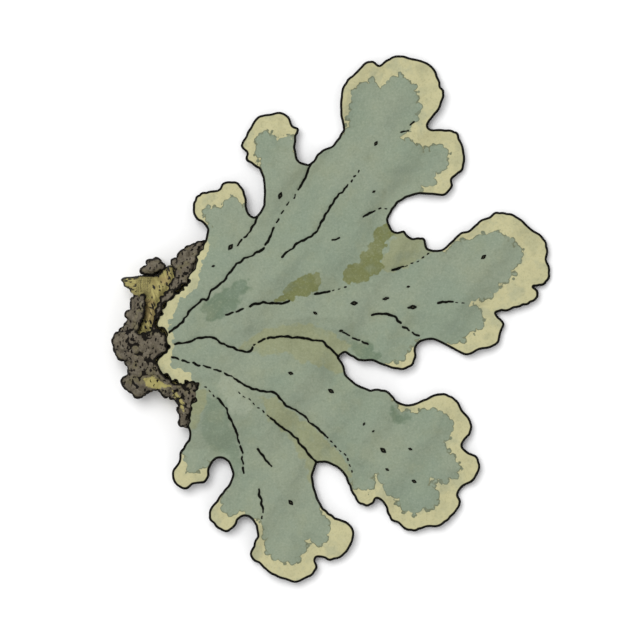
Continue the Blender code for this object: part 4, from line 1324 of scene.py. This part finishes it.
class LICHEN_OT_add_bark(bpy.types.Operator):
    """Build the bark and its burrs up from grains"""

    bl_idname = "lichen.add_bark"
    bl_label = "Add Bark"

    def execute(self, context):
        settings = context.scene.lichen_twig
        finish = make_bark_finish(settings)
        grain = self.model_grain()
        parts = (
            ("twig_bark", settings.grain_count, BURRS, 0.3),
            ("bark_burr", settings.grain_count // 16, CAP_BURRS, 0.12),
        )
        for node, count, burrs, inset in parts:
            bark = self.grained(node, grain, count, settings.grain_size / MM, burrs, inset)
            bark.data.materials.append(finish)
            hand_over(bark, node)
        bpy.data.objects.remove(grain, do_unlink=True)
        return {"FINISHED"}

    def model_grain(self):
        """One lumpy grain of radius 1."""
        bpy.ops.object.select_all(action="DESELECT")
        bpy.ops.mesh.primitive_ico_sphere_add(subdivisions=2, radius=1.0)
        grain = bpy.context.object
        bpy.ops.object.mode_set(mode="EDIT")
        bpy.ops.mesh.select_all(action="SELECT")
        bpy.ops.transform.vertex_random(offset=0.12, uniform=0.0, normal=1.0, seed=3)
        bpy.ops.transform.resize(value=(1.0, 0.9, 0.75))
        bpy.ops.object.mode_set(mode="OBJECT")
        bpy.ops.object.transform_apply(location=True, rotation=True, scale=True)
        return grain

    def grained(self, node, grain, count, size, burrs, inset):
        """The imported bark, drawn in a little and built out again with grains and burrs."""
        bark = copy_of_node(node, "crust_of_" + node)
        bpy.ops.object.mode_set(mode="EDIT")
        bpy.ops.mesh.select_all(action="SELECT")
        bpy.ops.transform.shrink_fatten(value=-inset * MM)
        bpy.ops.object.mode_set(mode="OBJECT")
        spots, outward = self.spots_on(bark.data, count, GRAIN_SPACING * size)
        chance = random.Random(SEED)
        sizes = [size * chance.uniform(*GRAIN_SIZES) for _ in spots]
        middles = [
            spot - normal * GRAIN_SINK * radius
            for spot, normal, radius in zip(spots, outward, sizes)
        ]
        for x, y, z, radius in burrs:
            middles.append(np.array((x, y, z)))
            outward.append(np.array((0.0, 0.0, 1.0)))
            sizes.append(radius)
        lumps = []
        for middle, normal, radius in zip(middles, outward, sizes):
            lean = Vector((0.0, 0.0, 1.0)).rotation_difference(Vector(normal))
            turn = Matrix.Rotation(chance.uniform(0.0, math.tau), 4, "Z")
            mesh = grain.data.copy()
            mesh.transform(
                Matrix.Translation(Vector(middle) * MM)
                @ lean.to_matrix().to_4x4() @ turn @ Matrix.Scale(radius * MM, 4)
            )  # fmt: skip
            lumps.append(add_object("lump", mesh))
        only(bark, *lumps)
        bpy.ops.object.join()
        voxel = 0.15
        apply_modifier(bark, "REMESH", mode="VOXEL", voxel_size=voxel * MM, adaptivity=0.0)
        apply_modifier(bark, "SMOOTH", factor=0.5, iterations=1)
        self.keep_above_floor(bark.data)
        self.describe(bark.data, np.array(middles), np.array(sizes), voxel)
        only(bark)
        bpy.ops.object.shade_smooth()
        return bark

    def spots_on(self, mesh, count, spacing):
        """Places spread over the faces that can be seen, and the way out at each."""
        mesh.calc_loop_triangles()
        places = vertex_places(mesh)
        corners = places[[list(triangle.vertices) for triangle in mesh.loop_triangles]]
        normals = np.cross(corners[:, 1] - corners[:, 0], corners[:, 2] - corners[:, 0])
        areas = np.linalg.norm(normals, axis=1)
        normals = normals / np.maximum(areas, 1e-9)[:, None]
        weights = areas * (normals[:, 2] > -0.25) * (corners.mean(axis=1)[:, 2] > 0.5)
        chance = np.random.default_rng(SEED)
        picks = chance.choice(len(weights), size=count * TRIES_PER_GRAIN, p=weights / weights.sum())
        shares = chance.dirichlet((1.0, 1.0, 1.0), size=len(picks))
        spots, outward = [], []
        for pick, share in zip(picks, shares):
            spot = share @ corners[pick]
            if spots and np.min(((np.array(spots) - spot) ** 2).sum(axis=1)) < spacing**2:
                continue
            spots.append(spot)
            outward.append(normals[pick])
            if len(spots) == count:
                break
        return spots, outward

    def keep_above_floor(self, mesh):
        places = vertex_places(mesh)
        places[:, 2] = np.maximum(places[:, 2], 0.0)
        put_vertices(mesh, places)

    def describe(self, mesh, middles, sizes, voxel):
        """Marks the hollows between grains for their painted shade, each grain's tone and the band of
        painted shade round the bark's edge as seen from above.
        """
        places = vertex_places(mesh)
        tones = np.random.default_rng(SEED + 1).random(len(middles))
        hollow_shade_and_specks = np.empty(len(places))
        tone = np.empty(len(places))
        for first in range(0, len(places), 4096):
            some = places[first : first + 4096]
            away = np.sqrt(((some[:, None, :] - middles) ** 2).sum(axis=2)) / sizes
            hollow_shade_and_specks[first : first + 4096] = away.min(axis=1) - 1.0
            tone[first : first + 4096] = tones[away.argmin(axis=1)]
        set_attribute(mesh, "hollow_shade_and_specks", hollow_shade_and_specks)
        set_attribute(mesh, "grain_tone", tone)
        set_attribute(mesh, "thin_bark", depth_in_patches(places[:, :2], THIN_BARK))
        # The band of painted shade round the bark's edge as seen from above.
        set_attribute(mesh, "painted_rim_shade", painted_rim_shade(places, 1.4 * voxel))


def painted_rim_shade(places, cell):
    """1 within a thin band round the piece as it is seen from above, where its edge is painted in
    shade, and 0 on the rest of it.
    """
    low = places[:, :2].min(axis=0) - 2.0 * cell
    columns = ((places[:, :2] - low) / cell).astype(int)
    size = columns.max(axis=0) + 3
    tops = np.full(size, -1.0)
    np.maximum.at(tops, (columns[:, 0], columns[:, 1]), places[:, 2])
    covered = tops >= 0.0
    enclosed = covered.copy()
    for axis, step in ((0, 1), (0, -1), (1, 1), (1, -1)):
        enclosed &= np.roll(covered, step, axis=axis)
    edge = np.argwhere(covered & ~enclosed)
    tree = kdtree.KDTree(len(edge))
    for index, (column, row) in enumerate(edge):
        x, y = low + (np.array((column, row)) + 0.5) * cell
        tree.insert((x, y, 0.0), index)
    tree.balance()
    band = np.zeros(len(places))
    for index, (x, y, z) in enumerate(places):
        _, nearest, away = tree.find((x, y, 0.0))
        if z > tops[tuple(edge[nearest])] - EDGE_BAND_DROP:
            band[index] = min(1.0, max(0.0, (EDGE_BAND + 0.1 - away) / 0.1))
    return band


class LICHEN_OT_add_wood(bpy.types.Operator):
    """Model the bare wood with its fibres and snapped spur"""

    bl_idname = "lichen.add_wood"
    bl_label = "Add Bare Wood"

    def execute(self, context):
        wood = copy_of_node("twig_wood", "bare_wood")
        voxel = 0.17
        apply_modifier(wood, "REMESH", mode="VOXEL", voxel_size=voxel * MM, adaptivity=0.0)
        apply_modifier(wood, "SMOOTH", factor=0.5, iterations=3)
        places = vertex_places(wood.data)
        across, along = self.fibre_lines(places)
        normals = np.empty(len(places) * 3)
        wood.data.vertices.foreach_get("normal", normals)
        ridges = np.array(
            [noise.noise(Vector((2.2 * a, 0.3 * b, 0.0))) for a, b in zip(across, along)]
        )
        lumps = np.array([noise.noise(Vector(place) * 0.7) for place in places])
        normals = normals.reshape(-1, 3)
        lift = FIBRE_HEIGHT * ridges + LUMP_HEIGHT * lumps
        depth_in_break = depth_in_patches(places[:, :2], [UPPER_BREAK])
        rise = BREAK_RISE * np.clip(depth_in_break / BREAK_RISE_WIDTH, 0.0, 1.0)
        rise = rise * np.clip(normals[:, 2], 0.0, 1.0)
        places = places + normals * lift[:, None]
        places[:, 2] += rise
        middle, half_width, reach = WOOD_TONGUE
        tongue = np.exp(-(((places[:, 0] - middle) / half_width) ** 2))
        places[:, 1] += reach * tongue * np.clip(places[:, 1] - 6.2, 0.0, 1.0)
        under_spur = SPUR_CLEARANCE * self.share_of_spur(places)
        places[:, 2] = under_spur + places[:, 2] * (1.0 - under_spur / SPUR_TOP)
        places[:, 2] = np.maximum(places[:, 2], 0.0)
        put_vertices(wood.data, places)
        set_attribute(wood.data, "across", across)
        set_attribute(wood.data, "along", along)
        in_break = depth_in_patches(places[:, :2], [UPPER_BREAK]) > 0.0
        # The band of painted shade round the wood's edge, only in the upper break.
        set_attribute(wood.data, "painted_rim_shade", painted_rim_shade(places, 1.4 * voxel) * in_break)
        set_attribute(wood.data, "stain", depth_in_patches(places[:, :2], STAINS))
        wood.data.materials.append(make_wood_finish(context.scene.lichen_twig))
        only(wood)
        bpy.ops.object.shade_smooth()
        hand_over(wood, "twig_wood")
        return {"FINISHED"}

    def share_of_spur(self, places):
        """0 in the stem of the twig, rising to 1 in the snapped spur at its side."""
        outward = np.clip((-27.2 - places[:, 0]) / 2.2, 0.0, 1.0)
        return outward * np.clip((places[:, 1] - 2.4) / 1.2, 0.0, 1.0)

    def fibre_lines(self, places):
        """Coordinates across and along the fibres, which turn out into the side spur."""
        x, y = places[:, 0], places[:, 1]
        spur = self.share_of_spur(places)
        leaning = x + 0.35 * y
        return (1.0 - spur) * leaning + spur * 1.6 * y, (1.0 - spur) * y - spur * x


class LICHEN_OT_add_stage(bpy.types.Operator):
    """Set up the floor, the soft light and the camera overhead"""

    bl_idname = "lichen.add_stage"
    bl_label = "Add Stage"

    def execute(self, context):
        settings = context.scene.lichen_stage
        self.add_floor(settings)
        self.add_lights(context, settings)
        self.add_camera(context, settings)
        return {"FINISHED"}

    def add_floor(self, settings):
        bpy.ops.object.select_all(action="DESELECT")
        bpy.ops.mesh.primitive_grid_add(
            x_subdivisions=4, y_subdivisions=4, size=6.0, location=(0.0, 0.0, -0.00002)
        )
        floor = bpy.context.object
        floor.name = "floor"
        bpy.ops.object.transform_apply(location=True, rotation=True, scale=True)
        floor.data.materials.append(make_floor_finish(settings))

    def add_lights(self, context, settings):
        world = bpy.data.worlds.new("even_light")
        world.use_nodes = True
        sky = world.node_tree.nodes["Background"]
        sky.inputs["Color"].default_value = (1.0, 1.0, 1.0, 1.0)
        sky.inputs["Strength"].default_value = settings.sky_strength
        context.scene.world = world
        bpy.ops.object.light_add(type="AREA", location=(-0.3, 0.36, 1.25))
        lamp = bpy.context.object
        lamp.name = "large_lamp"
        lamp.data.shape = "SQUARE"
        lamp.data.size = 0.7
        lamp.data.energy = settings.light_power
        lamp.rotation_euler = (-lamp.location).to_track_quat("-Z", "Y").to_euler()

    def add_camera(self, context, settings):
        data = bpy.data.cameras.new("overhead")
        data.sensor_width = 36.0
        data.lens = data.sensor_width * settings.camera_height / settings.view_width
        data.clip_start = 0.02
        data.clip_end = 20.0
        camera = bpy.data.objects.new("overhead", data)
        camera.location = (-1.67 * MM, -0.15 * MM, settings.camera_height)
        context.scene.collection.objects.link(camera)
        context.scene.camera = camera
        context.scene.view_settings.view_transform = "Standard"


class LICHEN_PT_sidebar(bpy.types.Panel):
    """Lists what the lichen is made of"""

    bl_idname = "LICHEN_PT_sidebar"
    bl_label = "Lichen on a Twig"
    bl_space_type = "VIEW_3D"
    bl_region_type = "UI"
    bl_category = "Lichen"

    def draw(self, context):
        scene = context.scene
        for settings, operators in (
            (scene.lichen_thallus, (LICHEN_OT_add_lobes, LICHEN_OT_add_pits)),
            (scene.lichen_twig, (LICHEN_OT_add_bark, LICHEN_OT_add_wood)),
            (scene.lichen_stage, (LICHEN_OT_add_stage,)),
        ):
            box = self.layout.box()
            for name in settings.__annotations__:
                box.prop(settings, name)
            for operator in operators:
                box.operator(operator.bl_idname)


SETTINGS = {
    "lichen_thallus": LichenThallusSettings,
    "lichen_twig": LichenTwigSettings,
    "lichen_stage": LichenStageSettings,
}
CLASSES = (
    *SETTINGS.values(),
    LICHEN_OT_add_lobes,
    LICHEN_OT_add_pits,
    LICHEN_OT_add_bark,
    LICHEN_OT_add_wood,
    LICHEN_OT_add_stage,
    LICHEN_PT_sidebar,
)


def register():
    for cls in CLASSES:
        bpy.utils.register_class(cls)
    for name, group in SETTINGS.items():
        setattr(bpy.types.Scene, name, PointerProperty(type=group))


def unregister():
    for name in SETTINGS:
        delattr(bpy.types.Scene, name)
    for cls in reversed(CLASSES):
        bpy.utils.unregister_class(cls)


def main():
    register()
    bpy.ops.lichen.add_lobes()
    bpy.ops.lichen.add_pits()
    bpy.ops.lichen.add_bark()
    bpy.ops.lichen.add_wood()
    bpy.ops.lichen.add_stage()


if __name__ == "__main__":
    main()
